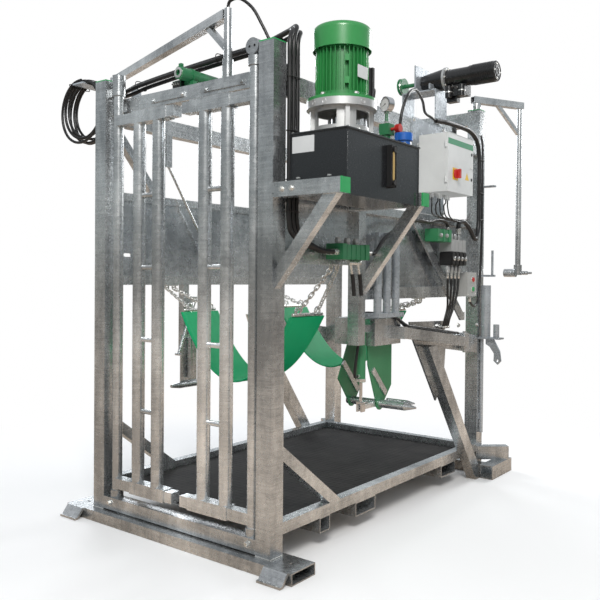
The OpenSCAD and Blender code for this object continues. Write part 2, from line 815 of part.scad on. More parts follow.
// Swivel clamp on the lower end of the drop tube
module gallows_clamp() {
    color(galv) translate([tip_x, tip_y, drop_z - 55]) {
        difference() {
            union() {
                translate([0, 0, -5]) cylinder(r = 25, h = 65);
                translate([-88, 0, 8]) rotate([0, 90, 0]) cylinder(r = 26, h = 76);
                translate([20, 0, 8]) rotate([0, 90, 0]) cylinder(r = 12, h = 44);
            }
            translate([0, 0, 9.7]) cylinder(r = drop_r + fit, h = 100);
        }
        translate([64, 0, 8]) rotate([0, 90, 0]) cylinder(r = 7, h = 26);
    }
}

// Welded oil tank, open at the top, with ears over the brackets
module oil_tank() {
    color(black) {
        difference() {
            block([tank_x0, tank_y0, tank_z0], [tank_x1, tank_y1, tank_z1]);
            block([tank_x0 + tank_t, tank_y0 + tank_t, tank_z0 + tank_t], [tank_x1 - tank_t, tank_y1 - tank_t, tank_z1 + 1]);
        }
        for (x = [tank_x0 + 30, tank_x1 - 90]) {
            block([x, bracket1_y0 + 5, bracket_top], [x + 60, tank_y0, bracket_top + 6]);
            block([x, tank_y1, bracket_top], [x + 60, mid_y1 - 5, bracket_top + 6]);
        }
    }
}

module tank_lid() {
    lip = 6;
    color(black) difference() {
        block([tank_x0 - lip, tank_y0 - lip, tank_z1], [tank_x1 + lip, tank_y1 + lip, lid_top]);
        translate([motor_x, motor_y, tank_z1 - 1]) cylinder(r = 62, h = lid_t + 2);
        translate([840, -445, tank_z1 - 1]) cylinder(r = 25, h = lid_t + 2);
    }
}

// Cast bell housing between lid and motor, with a window on each side
module bell_housing() {
    color("lightgray") translate([motor_x, motor_y, lid_top]) difference() {
        union() {
            cylinder(r = flange_r - 12, h = 12);
            cylinder(r = bell_r, h = bell_h);
            translate([0, 0, bell_h]) cylinder(r = flange_r, h = flange_t);
            for (a = [0:90:270])
                rotate([0, 0, a + 45]) block([bell_r - 6, -9, 0], [flange_r - 14, 9, bell_h]);
        }
        translate([0, 0, -1]) cylinder(r = bell_r - 9, h = bell_h + flange_t - 9);
        translate([0, 0, -1]) cylinder(r = 60, h = bell_h + flange_t + 2);
        for (a = [0:90:270])
            rotate([0, 0, a]) block([70, -48, 34], [200, 48, bell_h - 14]);
        for (a = [30:60:330])
            rotate([0, 0, a]) translate([flange_r - 13, 0, bell_h - 1]) cylinder(r = 6, h = flange_t + 2);
    }
}

// Gear pump hanging under the lid inside the tank
module hydraulic_pump() {
    color("dimgray") translate([motor_x, motor_y, 0]) {
        difference() {
            translate([0, 0, tank_z1 - 30]) cylinder(r = 66, h = 30);
            translate([0, 0, tank_z1 - 31]) cylinder(r = shaft_r + 6, h = 40);
        }
        difference() {
            block([-45, -50, tank_z1 - 150], [45, 50, tank_z1 - 30]);
            translate([0, 0, tank_z1 - 100]) cylinder(r = shaft_r + 6, h = 110);
        }
        translate([0, 30, tank_z0 + 25]) pipe(tank_z1 - 150 - tank_z0 - 25, 14, 2);
    }
}

module motor_stator() {
    foot = 12;
    color(green) translate([motor_x, motor_y, stator_z]) difference() {
        union() {
            cylinder(r = stator_r, h = stator_h);
            cylinder(r = flange_r, h = foot);
            cylinder(r = fin_r - 4, h = 34);
            translate([0, 0, foot]) linear_extrude(stator_h - foot - 24) union()
                for (i = [0:fins - 1])
                    rotate(i * 360 / fins) translate([stator_r - 3, -1.5]) square([fin_r - stator_r + 3, 3]);
            for (a = [45:90:315])
                for (z = [60, 150])
                    rotate([0, 0, a]) block([stator_r - 4, -9, z], [fin_r + 2, 9, z + 26]);
        }
        translate([0, 0, 10]) cylinder(r = stator_r - 8, h = stator_h - 20);
        translate([0, 0, -1]) cylinder(r = shaft_r + 0.5, h = stator_h + 2);
        for (a = [30:60:330])
            rotate([0, 0, a]) translate([flange_r - 13, 0, -1]) cylinder(r = 6, h = foot + 2);
    }
}

// Rotor core with the shaft that runs down through the bell housing into the pump
module motor_rotor() {
    color("gray") translate([motor_x, motor_y, 0]) {
        translate([0, 0, tank_z1 - 95]) cylinder(r = shaft_r, h = stator_top + 40 - tank_z1 + 95);
        translate([0, 0, stator_z + 30]) cylinder(r = stator_r - 20, h = stator_h - 60);
        translate([0, 0, lid_top + 20]) cylinder(r = 42, h = 70);
    }
}

module cooling_fan() {
    color(black) translate([motor_x, motor_y, stator_top + 8]) {
        ring(24, 34, shaft_r);
        for (i = [0:7])
            rotate([0, 0, 45 * i]) block([33, -2, 0], [100, 2, 36]);
        ring(3, 100, 33);
    }
}

// Domed fan cowl, open underneath, with slots round the inlet
module fan_cowl() {
    wall = 3;
    edge = 24;
    color(green) translate([motor_x, motor_y, cowl_z]) difference() {
        rotate_extrude() difference() {
            union() {
                square([cowl_r, cowl_h - edge]);
                square([cowl_r - edge, cowl_h]);
                translate([cowl_r - edge, cowl_h - edge]) circle(r = edge);
            }
            translate([-1, -1]) square([cowl_r - wall + 1, cowl_h - edge + 1]);
            translate([-1, -1]) square([cowl_r - edge + 1, cowl_h - wall + 1]);
            translate([cowl_r - edge, cowl_h - edge]) circle(r = edge - wall);
            translate([-cowl_r, -1]) square([cowl_r, cowl_h + 2]);
        }
        for (i = [0:15])
            rotate([0, 0, 22.5 * i]) block([34, -3, cowl_h - 10], [80, 3, cowl_h + 5]);
    }
    color(green) translate([motor_x, motor_y, cowl_z])
        for (a = [45:90:315])
            rotate([0, 0, a]) block([stator_r + soft_gap, -5, 2], [cowl_r - wall, 5, 14]);
}

// Terminal box on the motor's +Y side
module terminal_box() {
    y0 = motor_y + fin_r + 3;
    z0 = stator_z + 36;
    color(black) {
        block([motor_x - 30, motor_y + stator_r + 19, z0 + 20], [motor_x + 30, y0, z0 + 120]);
        block([motor_x - 48, y0, z0], [motor_x + 48, y0 + 42, z0 + 140]);
        block([motor_x - 52, y0 + 42, z0 - 4], [motor_x + 52, y0 + 58, z0 + 144]);
        translate([motor_x, y0 + 22, z0 - 22]) cylinder(r = 13, h = 22);
    }
}

module level_gauge() {
    color(black) {
        block([tank_x1, -670, 1580], [tank_x1 + 22, -630, 1750]);
        for (z = [1596, 1734])
            translate([tank_x1 + 22, -650, z]) rotate([0, 90, 0]) cylinder(r = 12, h = 10);
    }
}

module filler_cap() {
    color("#1468c8") translate([840, -445, lid_top]) {
        translate([0, 0, soft_gap]) cylinder(r = 31, h = 26);
        translate([0, 0, 26]) cylinder(r = 38, h = 34);
        translate([0, 0, -24]) cylinder(r = 25 - fit, h = 26);
    }
}

// Green relief valve with the stem of the pressure gauge above
module gauge_and_relief_valve() {
    color(green) {
        translate([755, -450, lid_top]) cylinder(r = 20, h = 60);
        block([730, -475, lid_top + 60], [780, -425, lid_top + 110]);
        translate([755, -450, lid_top + 110]) cylinder(r = 8, h = 66);
        translate([755, -462, lid_top + 198]) rotate([-90, 0, -20]) cylinder(r = 32, h = 26);
        translate([755, -450, lid_top + 160]) cylinder(r = 12, h = 14);
    }
}

module relief_knob() {
    color("red") translate([805, -450, lid_top + 85]) rotate([0, 90, 0]) {
        translate([0, 0, -24.7]) cylinder(r = 7, h = 26);
        cylinder(r = 18, h = 22);
    }
}

module cabinet_shell() {
    color("whitesmoke") {
        difference() {
            block([cab_x0, cab_y0, cab_z], [cab_x1, cab_y1, cab_z + cab_h]);
            block([cab_x0 + cab_t, cab_y0 + cab_t, cab_z + cab_t], [cab_x1 + 1, cab_y1 - cab_t, cab_z + cab_h - cab_t]);
        }
        for (y = [cab_y0 + 40, cab_y1 - 40])
            for (z = [cab_z + 40, cab_z + cab_h - 40])
                translate([plate_x1, y, z]) rotate([0, 90, 0]) cylinder(r = 10, h = cab_x0 - plate_x1);
        for (i = [0:4])
            translate([cab_x0 + 50 + 12 * (i % 2), cab_y0 + 50 + 46 * i, cab_z - 22]) cylinder(r = 11, h = 22);
    }
}

module cabinet_door() {
    color("whitesmoke") {
        difference() {
            block([door_x, cab_y0 + 1, cab_z], [door_x + door_t, cab_y1, cab_z + cab_h]);
            block([door_x - 1, cab_y0 + 4, cab_z + 3], [door_x + door_t - 2, cab_y1 - 3, cab_z + cab_h - 3]);
            translate([door_x - 1, switch_y, switch_z]) rotate([0, 90, 0]) cylinder(r = 7, h = 40);
        }
        translate([door_x + door_t, cab_y1 - 25, cab_z + 150]) rotate([0, 90, 0]) cylinder(r = 9, h = 6);
        for (z = [cab_z + 45, cab_z + cab_h - 75])
            translate([door_x + 5, cab_y0 - 4, z]) cylinder(r = 6, h = 30);
    }
}

module main_switch() {
    x = door_x + door_t + soft_gap;
    color("red") translate([x, switch_y, switch_z]) rotate([0, 90, 0]) {
        translate([0, 0, -18]) cylinder(r = 7 - fit, h = 19);
        cylinder(r = 26, h = 12);
        block([-26, -7, 12], [26, 7, 34]);
    }
}

// Green hand valve under the tank and the rear valve bank with its fittings
module valve_blocks() {
    x0 = x_out + 20;
    color("darkgreen") {
        block([x_out, -600, 1290], [x0, -560, 1330]);
        block([x_out, -520, 1290], [x0, -480, 1330]);
        block([x0, -690, 1280], [x0 + 90, -470, 1350]);
        for (y = [-660, -590, -520])
            translate([x0 + 45, y, 1350]) cylinder(r = 18, h = 30);
        translate([x0 + 45, -470, 1315]) rotate([-90, 0, 0]) cylinder(r = 16, h = 46);
        block([x_out + 10, 230, 1400], [x0 + 70, 400, 1470]);
        block([x_out + 10, 400, 1350], [x0 + 70, 590, 1420]);
        block([x_out + 10, 400, 1275], [x0 + 80, 590, 1350]);
        for (i = [0:3])
            translate([x0 + 34, 424 + 46 * i, 1235]) cylinder(r = 13, h = 40);
        for (i = [0:3])
            translate([x0 + 30, 424 + 46 * i, 1420]) cylinder(r = 12, h = 34);
        block([x_out, 310, 1410], [x_out + 10, 580, 1450]);
        block([x_out, 440, 1290], [x_out + 10, 580, 1330]);
    }
}

lever_x = x_out + 65;
lever_z = 1268;

module valve_levers() {
    color("silver") {
        for (y = [-560, -500])
            translate([lever_x, y, lever_z - 150]) cylinder(r = 7, h = 150);
        rotate([0, 0, 0]) translate([lever_x, -580, lever_z]) rotate([-90, 0, 0]) cylinder(r = 11.5, h = 100);
    }
}

module button_box() {
    color("tan") difference() {
        block([box_x0, box_y0, box_z0], [box_x1, box_y1, box_z1]);
        for (z = [1142, 1198])
            translate([box_x1 - 24, button_y, z]) rotate([0, 90, 0]) cylinder(r = button_r + fit, h = 40);
    }
    color("tan") block([x_out, box_y0 + 20, box_z0 + 20], [box_x0, box_y1 - 20, right_rail_z + 60]);
}

module push_button(z) {
    translate([box_x1 - 16, button_y, z]) rotate([0, 90, 0]) cylinder(r = button_r, h = 16 + 10);
}

module red_button() {
    color("red") push_button(1198);
}

module green_button() {
    color(green) push_button(1142);
}

// Winch gear motor: bell end, silver ring, body and motor along X
module winch_gearmotor() {
    color(black) translate([0, winch_y, winch_z]) {
        difference() {
            union() {
                translate([376, 0, 0]) rotate([0, 90, 0]) cylinder(r1 = 42, r2 = 64, h = 144, $fn = 48);
                translate([520, 0, 0]) rotate([0, 90, 0]) cylinder(r = 67, h = 16);
                translate([536, 0, 0]) rotate([0, 90, 0]) cylinder(r = winch_r - 2, h = 140);
                translate([676, 0, 0]) rotate([0, 90, 0]) cylinder(r = winch_r + 2, h = 155);
            }
            translate([370, 0, 0]) rotate([0, 90, 0]) cylinder(r = 12 + fit, h = 60);
            block([450, -100, -200], [470, 100, -30]);
        }
        block([545, -35, -110], [660, 35, -winch_r + 6]);
        block([536, -20, -140], [600, 20, -110]);
    }
}

// Winch shaft with the green rope pulley
module winch_pulley() {
    color(green) translate([0, winch_y, winch_z]) rotate([0, 90, 0]) {
        translate([0, 0, 205]) cylinder(r = 12, h = 205);
        translate([0, 0, 220]) rotate_extrude()
            polygon([[11, 0], [pulley_r, 0], [pulley_r, 5], [pulley_r - 16, 11], [pulley_r - 16, 17], [pulley_r, 23],
                [pulley_r, 28], [11, 28]]);
    }
}

// Outline of a hanging belt, seen along the stall
function belt_height(x) = belt_top - belt_sag + belt_sag * pow((x - belt_mid) / belt_half, 2);
belt_steps = 24;
belt_xs = [for (i = [0:belt_steps]) belt_x0 + (belt_x1 - belt_x0) * i / belt_steps];

module belt(y) {
    low = [for (x = belt_xs) [x, belt_height(x)]];
    slope = [for (x = belt_xs) 2 * belt_sag * (x - belt_mid) / pow(belt_half, 2)];
    high = [for (i = [belt_steps:-1:0])
        low[i] + belt_t * unit([-slope[i], 1])];
    color("#12a060") translate([0, y + belt_w, 0]) rotate([90, 0, 0]) linear_extrude(belt_w) polygon(concat(low, high));
}

module front_belt() {
    belt(belt1_y);
}

module rear_belt() {
    belt(belt2_y);
}

// Bars over the belts' ends with hooks and links up to the belly rails
module belt_hangers() {
    bar_r = 8;
    color("silver")
        for (y = [belt1_y, belt2_y])
            for (side = [0, 1]) {
                x = side == 0 ? belt_x0 - 2 : belt_x1 + 2;
                slant = side == 0 ? 4 : -4;
                top = side == 0 ? left_rail_z : (y < 0 ? front_rail_z : right_rail_z);
                rail = side == 0 ? -rail_x0 - 20 : rail_x0 + 20;
                bar_z = belt_top + bar_r + 4.2;
                translate([x + slant, y + 20, bar_z]) rotate([-90, 0, 0]) cylinder(r = bar_r, h = belt_w - 40);
                for (k = [60, belt_w - 60]) {
                    rod([x + slant, y + k, bar_z + bar_r - 2], [rail, y + belt_w / 2 + (k < 100 ? -25 : 25), top - 14], 5);
                }
                translate([rail - 20, y + belt_w / 2 - 40, top - 14]) cube([40, 80, 14]);
            }
}

// Hinged lift arm with its box head
module lift_arm() {
    y0 = head_y1 - 40;
    z0 = lift_z(y0);
    z1 = lift_z(swing_y);
    color(galv) {
        difference() {
            union() {
                difference() {
                    strut([swing_x, y0, z0], [swing_x, swing_y, z1], lift_s, lift_s);
                    translate([swing_x, swing_y, z1 - 100]) cylinder(r = 22, h = 200);
                }
                translate([swing_x, swing_y, z1 - 37]) cylinder(r = 25, h = 74);
                difference() {
                    block([head_x0, head_y0, head_z0], [head_x1, head_y1, head_z1]);
                    block([head_x0 - 1, head_y0 + 6, head_z0 + 6], [head_x1 - 6, head_y1 - 6, head_z1 - 6]);
                }
            }
            translate([swing_x, swing_y, z1 - 100]) cylinder(r = 12 + fit, h = 200);
        }
        block([head_x1 - 12, y0 - 24, z0 - lift_s / 2 - 3], [swing_x + lift_s / 2 + 3, y0 + 7, z0 + lift_s / 2 + 3]);
        block([ram_x - 16, ram_y - 14, ram_z1], [ram_x + 16, head_y0, ram_z1 + 34]);
        solid_strut([cheek_near + cheek_t + 4, -190, 745], [cheek_near + cheek_t + 4, -62, 612], 8, 30);
        solid_strut([cheek_far + cheek_t + 4, -200, 770], [cheek_far + cheek_t + 4, -62, 614], 8, 30);
    }
}

// Green cheek plates under the head that carry the hoof rest
module leg_cheeks() {
    near = [[-230, head_z0], [-225, 770], [rest_y - 32, rest_z], [rest_y + 32, rest_z], [0, 650], [0, head_z0]];
    far = [[-150, head_z0], [-238, 690], [rest_y - 32, rest_z], [rest_y + 32, rest_z], [-20, 640], [0, head_z0]];
    color("darkgreen")
        for (c = [[cheek_near, near], [cheek_far, far]])
            translate([c[0], 0, 0]) rotate([90, 0, 90]) linear_extrude(cheek_t) difference() {
                union() {
                    polygon(c[1]);
                    translate([rest_y, rest_z]) circle(r = 32);
                }
                translate([rest_y, rest_z]) circle(r = rest_r + fit);
            }
}

module lift_cylinder() {
    color(green) translate([ram_x, ram_y, ram_z0]) {
        difference() {
            cylinder(r = ram_r, h = ram_z1 - ram_z0);
            translate([0, 0, 15]) cylinder(r = ram_r - 4, h = ram_z1 - ram_z0 - 30);
            translate([0, 0, -1]) cylinder(r = rod_r + fit, h = 30);
        }
        translate([0, -ram_r + 3, 30]) rotate([90, 0, 0]) cylinder(r = 8, h = 14);
        translate([0, -ram_r + 3, ram_z1 - ram_z0 - 30]) rotate([90, 0, 0]) cylinder(r = 8, h = 14);
    }
}

// Chrome rod with its piston and the clevis at its lower end
module lift_rod() {
    color("gainsboro") {
        translate([ram_x, ram_y, rest_z + 26]) cylinder(r = rod_r, h = 236);
        translate([ram_x, ram_y, rest_z + 240]) cylinder(r = ram_r - 4 - fit, h = 22);
        difference() {
            block([ram_x - 16, ram_y - 16, rest_z - 20], [ram_x + 16, ram_y + 16, rest_z + 28]);
            block([ram_x - 8, ram_y - 17, rest_z - 21], [ram_x + 8, ram_y + 17, rest_z + 20]);
        }
        translate([ram_x - 16, ram_y, rest_z]) rotate([0, 90, 0]) cylinder(r = pin_r, h = 32);
    }
}

// Round hoof rest with a pointed end, second bar and slotted crank
module hoof_rest() {
    slot_back = 8;
    slot_front = 16;
    crank_x = ram_x - 6;
    color(galv) {
        translate([330, rest_y, rest_z]) rotate([0, 90, 0]) cylinder(r = rest_r, h = 340);
        translate([670, rest_y, rest_z]) rotate([0, 90, 0]) cylinder(r1 = rest_r, r2 = 5, h = 62, $fn = 32);
        translate([540, rest_y + 46, rest_z + 12]) rotate([0, 90, 0]) cylinder(r = 12, h = 120);
        translate([660, rest_y + 46, rest_z + 12]) rotate([0, 90, 0]) cylinder(r1 = 12, r2 = 3, h = 40, $fn = 32);
        for (x = [545, 620])
            block([x, rest_y, rest_z - 8], [x + 10, rest_y + 46, rest_z + 18]);
        difference() {
            block([crank_x, ram_y - 22, rest_z - 13], [crank_x + crank_t - 2, rest_y, rest_z + 13]);
            translate([crank_x - 6, ram_y, rest_z]) hull()
                for (y = [-slot_front + pin_r + 2, slot_back - pin_r - 1])
                    translate([0, y, 0]) rotate([0, 90, 0]) cylinder(r = pin_r + 2.2, h = 30, $fn = 32);
        }
    }
}

// Left leg support hung from the belly rail, with its roller and crank rod
module left_leg_support() {
    x = -rail_x0 - 25;
    color(galv) {
        box_tube([x - 20, -470, 790], [x + 20, -430, left_rail_z], 2, 3);
        block([x + 20, -495, 600], [x + 28, -375, 880]);
        block([x - 20, -470, 780], [x + 20, -430, 790]);
        translate([x + 43, -520, 605]) rotate([-90, 0, 0]) cylinder(r = 17, h = 150);
        translate([x + 43, -520, 605]) rotate([90, 0, 0]) cylinder(r1 = 17, r2 = 8, h = 60, $fn = 32);
        rod([x + 62, -425, 1070], [x + 62, -545, 778], 9);
        rod([x + 40, -545, 778], [x + 90, -545, 778], 7);
        block([x + 20, -440, 1060], [x + 70, -415, 1090]);
        block([x + 20, -440, 880], [x + 28, -415, 1060]);
    }
    color("darkgreen") translate([x + 45, -440, 640]) cylinder(r = 18, h = 220);
}

// Hoses and cables that the frame holds all the way
hose_rows = [0, 1, 2];
post_hose_x = x_out + 21;

module hydraulic_hoses() {
    color(black) {
        for (i = hose_rows) {
            y = -862 + 24 * i;
            z = i == 1 ? 18 : 0;
            down = -952 + 26 * i;
            hose([[-690, y, 2150 - z], [-620, y, 2140], [-540, y, 2146 + z], [-440, y, 2160 + z], [-150, y, 2182 + z], [100, y, 2196 + z],
                [350, y, 2210 + z], [500, y - 10, 2232 + z], [575, (y + down) / 2, 2228 + z], [post_hose_x, down, 2170],
                [post_hose_x, down, 2050], [post_hose_x, down, 1800], [post_hose_x, down, 1560], [post_hose_x, down, 1440],
                [post_hose_x + 4, down + 30, 1370], [x_out + 48 + 8 * i, -790, 1318],
                [x_out + 40 + 22 * i, -740, 1312], [x_out + 40 + 22 * i, -690.3, 1312]]);
        }
        hose([[x_out + 65, -423.7, 1315], [x_out + 65, -390, 1315], [x_out + 65, -350, 1322], [x_out + 62, -250, 1400], [x_out + 66, -60, 1475],
            [x_out + 66, 60, 1500], [x_out + 62, 180, 1500], [x_out + 50, 330, 1520], [x_out + 50, 415, 1510],
            [x_out + 50, 424, 1478], [x_out + 50, 424, 1454.3]], 18);
        hose([[x_out + 14, 340, 2068], [x_out + 24, 470, 2076], [x_out + 26, 640, 2080], [x_out + 28, 760, 2072], [x_out + 32, 840, 2030], [x_out + 34, 868, 1950],
            [x_out + 34, 872, 1800], [x_out + 34, 872, 1620], [x_out + 36, 860, 1500], [x_out + 44, 800, 1440], [x_out + 50, 720, 1490], [x_out + 50, 640, 1530],
            [x_out + 50, 572, 1520], [x_out + 50, 562, 1484], [x_out + 50, 562, 1454.3]], 26);
        hose([[x_out + 30, 905, 2075], [x_out + 40, 906, 2010], [x_out + 40, 906, 1900], [x_out + 40, 906, 1700], [x_out + 40, 906, 1500], [x_out + 38, 900, 1300],
            [x_out + 42, 860, 1090], [x_out + 50, 790, 1040], [x_out + 58, 720, 1060], [x_out + 60, 700, 1080], [x_out + 60, 700, 1099.7]], 14);
        hose([[mast_x, mast_y, boom_z + 20.7], [mast_x, mast_y, boom_z + 36], [mast_x + 14, mast_y, boom_z + 54], [mast_x + 60, mast_y + 10, boom_z + 56],
            [mast_x + 120, mast_y + 28, boom_z + 5], [mast_x + 165, mast_y + 46, boom_z - 80], [mast_x + 200, mast_y + 60, boom_z - 148], [mast_x + 260, mast_y + 60, boom_z - 146]], 14);
        hose([[motor_x + 10, -613.7, 2010], [motor_x + 10, -580, 2010], [motor_x + 10, -550, 2026], [motor_x - 20, -510, 1990], [motor_x - 44, -478, 1900],
            [motor_x - 50, -470, 1830], [motor_x - 54, -468, 1800], [motor_x - 54, -468, lid_top + 0.3]], 14);
        hose([[790, -424.7, 1850], [790, -400, 1850], [800, -390, 1960], [800, -330, 2050], [740, -150, 2110], [x_out + 84, 60, 2110], [x_out + 24, 200, 2085], [x_out + 14, 340, 2068]], 14);
        for (i = [0:4])
            hose([[cab_x0 + 50 + 12 * (i % 2), cab_y0 + 50 + 46 * i, cab_z - 22.3],
                [cab_x0 + 50 + 12 * (i % 2), cab_y0 + 50 + 46 * i, cab_z - 40], [cab_x0 + 50, cab_y0 + 52 + 46 * i, cab_z - 60],
                [cab_x0 + 40, cab_y0 + 90 + 50 * i, cab_z - 110], [cab_x0 + 24, 440 + 30 * i, cab_z - 124],
                [x_out + 42, 640 + 12 * i, cab_z - 120 + 5 * i], [x_out + 24 + 2 * i, 760, cab_z - 100 + 9 * i]], 7, 2);
        for (i = [0:3])
            hose([[x_out + 54, 424 + 46 * i, 1234.7], [x_out + 54, 424 + 46 * i, 1200], [x_out + 52, 430 + 40 * i, 1120],
                [x_out + 42, 450 + 26 * i, 1040], [x_out + 34, 434 + 20 * i, 975], [x_out + 24, 430 + 20 * i, 930], [x_out + 2.3, 430 + 20 * i, 930]], 12, 2);
    }
}

// Hose coil over the saddle outside the left post, one unbroken tube
coil_per = 24;
coil_points = [for (i = [0:coil_loops * coil_per])
    let (a = 90 + 360 * i / coil_per)
    [coil_x + coil_r * cos(a), coil_y0 + coil_step * i / coil_per, coil_z + coil_r * sin(a)]];
coil_end = coil_points[len(coil_points) - 1];
coil_path = concat([coil_points[0] + [coil_d, 0, 0]], coil_points, [coil_end - [coil_d, 0, 0]]);
coil_gap = min([for (i = [0:len(coil_points) - 1]) for (j = [i + 12:1:len(coil_points) - 1])
    norm(coil_points[i] - coil_points[j])]) - coil_d;

module hose_coil() {
    echo(least_gap_in_hose_coil = coil_gap);
    color(black) sweep(coil_path, coil_d / 2, 6);
}

base_sill();
anchor_feet();
corner_posts();
crossbeams();
rear_skids();
long_rails();
mid_post();
fork_pockets();
floor_plate();
floor_mat();
side_panels();
frame_braces();
diagonal_legs();
tank_brackets();
green_end_caps();
pivot_bearings();
mounting_plates();
left_gate_arm();
left_gate_sleeve();
right_gate_arm();
right_gate_sleeve();
gate_stop_bars();
gate_cylinder();
swivel_boom();
gallows_arm();
gallows_clamp();
oil_tank();
tank_lid();
bell_housing();
hydraulic_pump();
motor_stator();
motor_rotor();
cooling_fan();
fan_cowl();
terminal_box();
level_gauge();
filler_cap();
gauge_and_relief_valve();
relief_knob();
cabinet_shell();
cabinet_door();
main_switch();
valve_blocks();
valve_levers();
button_box();
red_button();
green_button();
winch_gearmotor();
winch_pulley();
front_belt();
rear_belt();
belt_hangers();
lift_arm();
leg_cheeks();
lift_cylinder();
lift_rod();
hoof_rest();
left_leg_support();
hydraulic_hoses();
hose_coil();
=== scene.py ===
import json
from math import cos, exp, pi, radians, sin
import bmesh
import bpy
from mathutils import Matrix, Vector

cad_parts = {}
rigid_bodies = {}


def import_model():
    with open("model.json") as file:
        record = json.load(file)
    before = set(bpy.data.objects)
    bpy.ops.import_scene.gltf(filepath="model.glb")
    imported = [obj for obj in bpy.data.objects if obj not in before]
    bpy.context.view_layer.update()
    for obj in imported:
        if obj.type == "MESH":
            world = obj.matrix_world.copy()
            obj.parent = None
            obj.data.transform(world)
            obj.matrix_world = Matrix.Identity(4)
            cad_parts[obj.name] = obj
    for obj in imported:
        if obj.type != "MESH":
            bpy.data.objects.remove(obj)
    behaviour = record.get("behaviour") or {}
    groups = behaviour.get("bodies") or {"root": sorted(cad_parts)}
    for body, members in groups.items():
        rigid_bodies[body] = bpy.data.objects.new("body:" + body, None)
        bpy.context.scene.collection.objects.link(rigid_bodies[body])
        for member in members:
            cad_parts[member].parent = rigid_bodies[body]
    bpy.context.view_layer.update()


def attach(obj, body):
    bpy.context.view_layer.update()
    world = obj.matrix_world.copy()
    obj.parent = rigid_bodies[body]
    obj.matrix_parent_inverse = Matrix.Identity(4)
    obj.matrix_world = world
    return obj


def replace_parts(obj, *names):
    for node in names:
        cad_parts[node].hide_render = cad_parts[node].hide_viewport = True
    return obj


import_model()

scene = bpy.context.scene

# Surroundings: tones from the ground up to the sky as the metal mirrors them, and the studio floor
SKY_STOPS = ((0.0, (0.18, 0.14, 0.1)), (0.46, (0.52, 0.43, 0.34)), (0.505, (0.27, 0.29, 0.26)),
             (0.57, (0.52, 0.59, 0.61)), (0.7, (0.95, 0.98, 1.02)))
SKY_STRENGTH = 0.62
FLOOR_SEEN, FLOOR_MIRRORED = (0.88, 0.88, 0.88), (0.56, 0.45, 0.355)
FLOOR_FADE_START, FLOOR_FADE_END = 1.5, 2.9
FLOOR_HALF, FLOOR_Z = 30, -0.001

# Places on the machine that several pieces share, in metres
MOTOR_X, MOTOR_Y = 0.74, -0.785
WINCH_Y, WINCH_Z = 0.6, 2.36
DOOR_FACE = 0.776
BUTTON_Y = 0.706
LEVER_X = 0.641
GATE_RAM_X, GATE_RAM_Z = -0.025, 2.13
LEG_RAM_X = 0.516
COIL_X, COIL_Z, COIL_R = -0.748, 2.055, 0.15
COIL_Y, COIL_STEP, COIL_LOOPS, HOSE_COIL_R = -1.0, 0.017, 6, 0.007
BELT_X0, BELT_X1, BELT_TOP, BELT_SAG, BELT_W = -0.32, 0.4, 1.015, 0.325, 0.27
BELT_LENGTH, LINK_PITCH = 1.013, 0.0225
FRONT_BELT_Y, REAR_BELT_Y = -0.69, 0.11
SMOOTH_ANGLE, COPY_SMOOTH_ANGLE = radians(38), radians(35)


def node(tree, kind, **values):
    """Adds a node. A name that starts with _ sets an attribute, any other name an input."""
    n = tree.nodes.new(kind)
    for k, v in values.items():
        if k.startswith("_"):
            setattr(n, k[1:], v)
        else:
            n.inputs[k].default_value = v
    return n


def put(tree, value, socket):
    """Links a socket to an input, or writes a plain value into it."""
    if isinstance(value, bpy.types.NodeSocket):
        tree.links.new(value, socket)
    else:
        socket.default_value = (*value, 1) if isinstance(value, tuple) and len(value) == 3 else value


def wire(tree, *pairs):
    for start, end in pairs:
        tree.links.new(start, end)


def mix_colour(tree, fac, a, b, blend="MIX"):
    n = node(tree, "ShaderNodeMix", _data_type="RGBA", _blend_type=blend)
    for value, index in ((fac, 0), (a, 6), (b, 7)):
        put(tree, value, n.inputs[index])
    return n.outputs[2]


def maths(tree, operation, *values):
    n = node(tree, "ShaderNodeMath", _operation=operation)
    for value, socket in zip(values, n.inputs):
        put(tree, value, socket)
    return n.outputs[0]


def times(tree, a, b):
    return maths(tree, "MULTIPLY", a, b)


def minus(tree, a, b):
    return maths(tree, "SUBTRACT", a, b)


def plus(tree, first, *others):
    for value in others:
        first = maths(tree, "ADD", first, value)
    return first


def set_camera():
    yaw, pitch, roll = radians(37.375), radians(-0.672), radians(0.464)
    ahead = Vector((-sin(yaw) * cos(pitch), cos(yaw) * cos(pitch), sin(pitch)))
    right = Vector((cos(yaw), sin(yaw), 0))
    up = right.cross(ahead)
    right, up = right * cos(roll) + up * sin(roll), up * cos(roll) - right * sin(roll)
    data = bpy.data.cameras.new("camera")
    data.lens = 43.98
    data.sensor_width = 36
    data.shift_x = -0.00786
    data.shift_y = -0.021
    cam = bpy.data.objects.new("camera", data)
    m = Matrix((right, up, -ahead)).transposed().to_4x4()
    m.translation = (2.4733, -3.2966, 1.1944)
    cam.matrix_world = m
    scene.collection.objects.link(cam)
    scene.camera = cam


def add_lamp(name, place, target, size, power, tint=(1, 1, 1)):
    data = bpy.data.lights.new(name, "AREA")
    data.shape = "DISK"
    data.size = size
    data.energy = power
    data.color = tint
    lamp = bpy.data.objects.new(name, data)
    aim = Vector(target) - Vector(place)
    lamp.matrix_world = Matrix.Translation(place) @ aim.to_track_quat("-Z", "Y").to_matrix().to_4x4()
    scene.collection.objects.link(lamp)


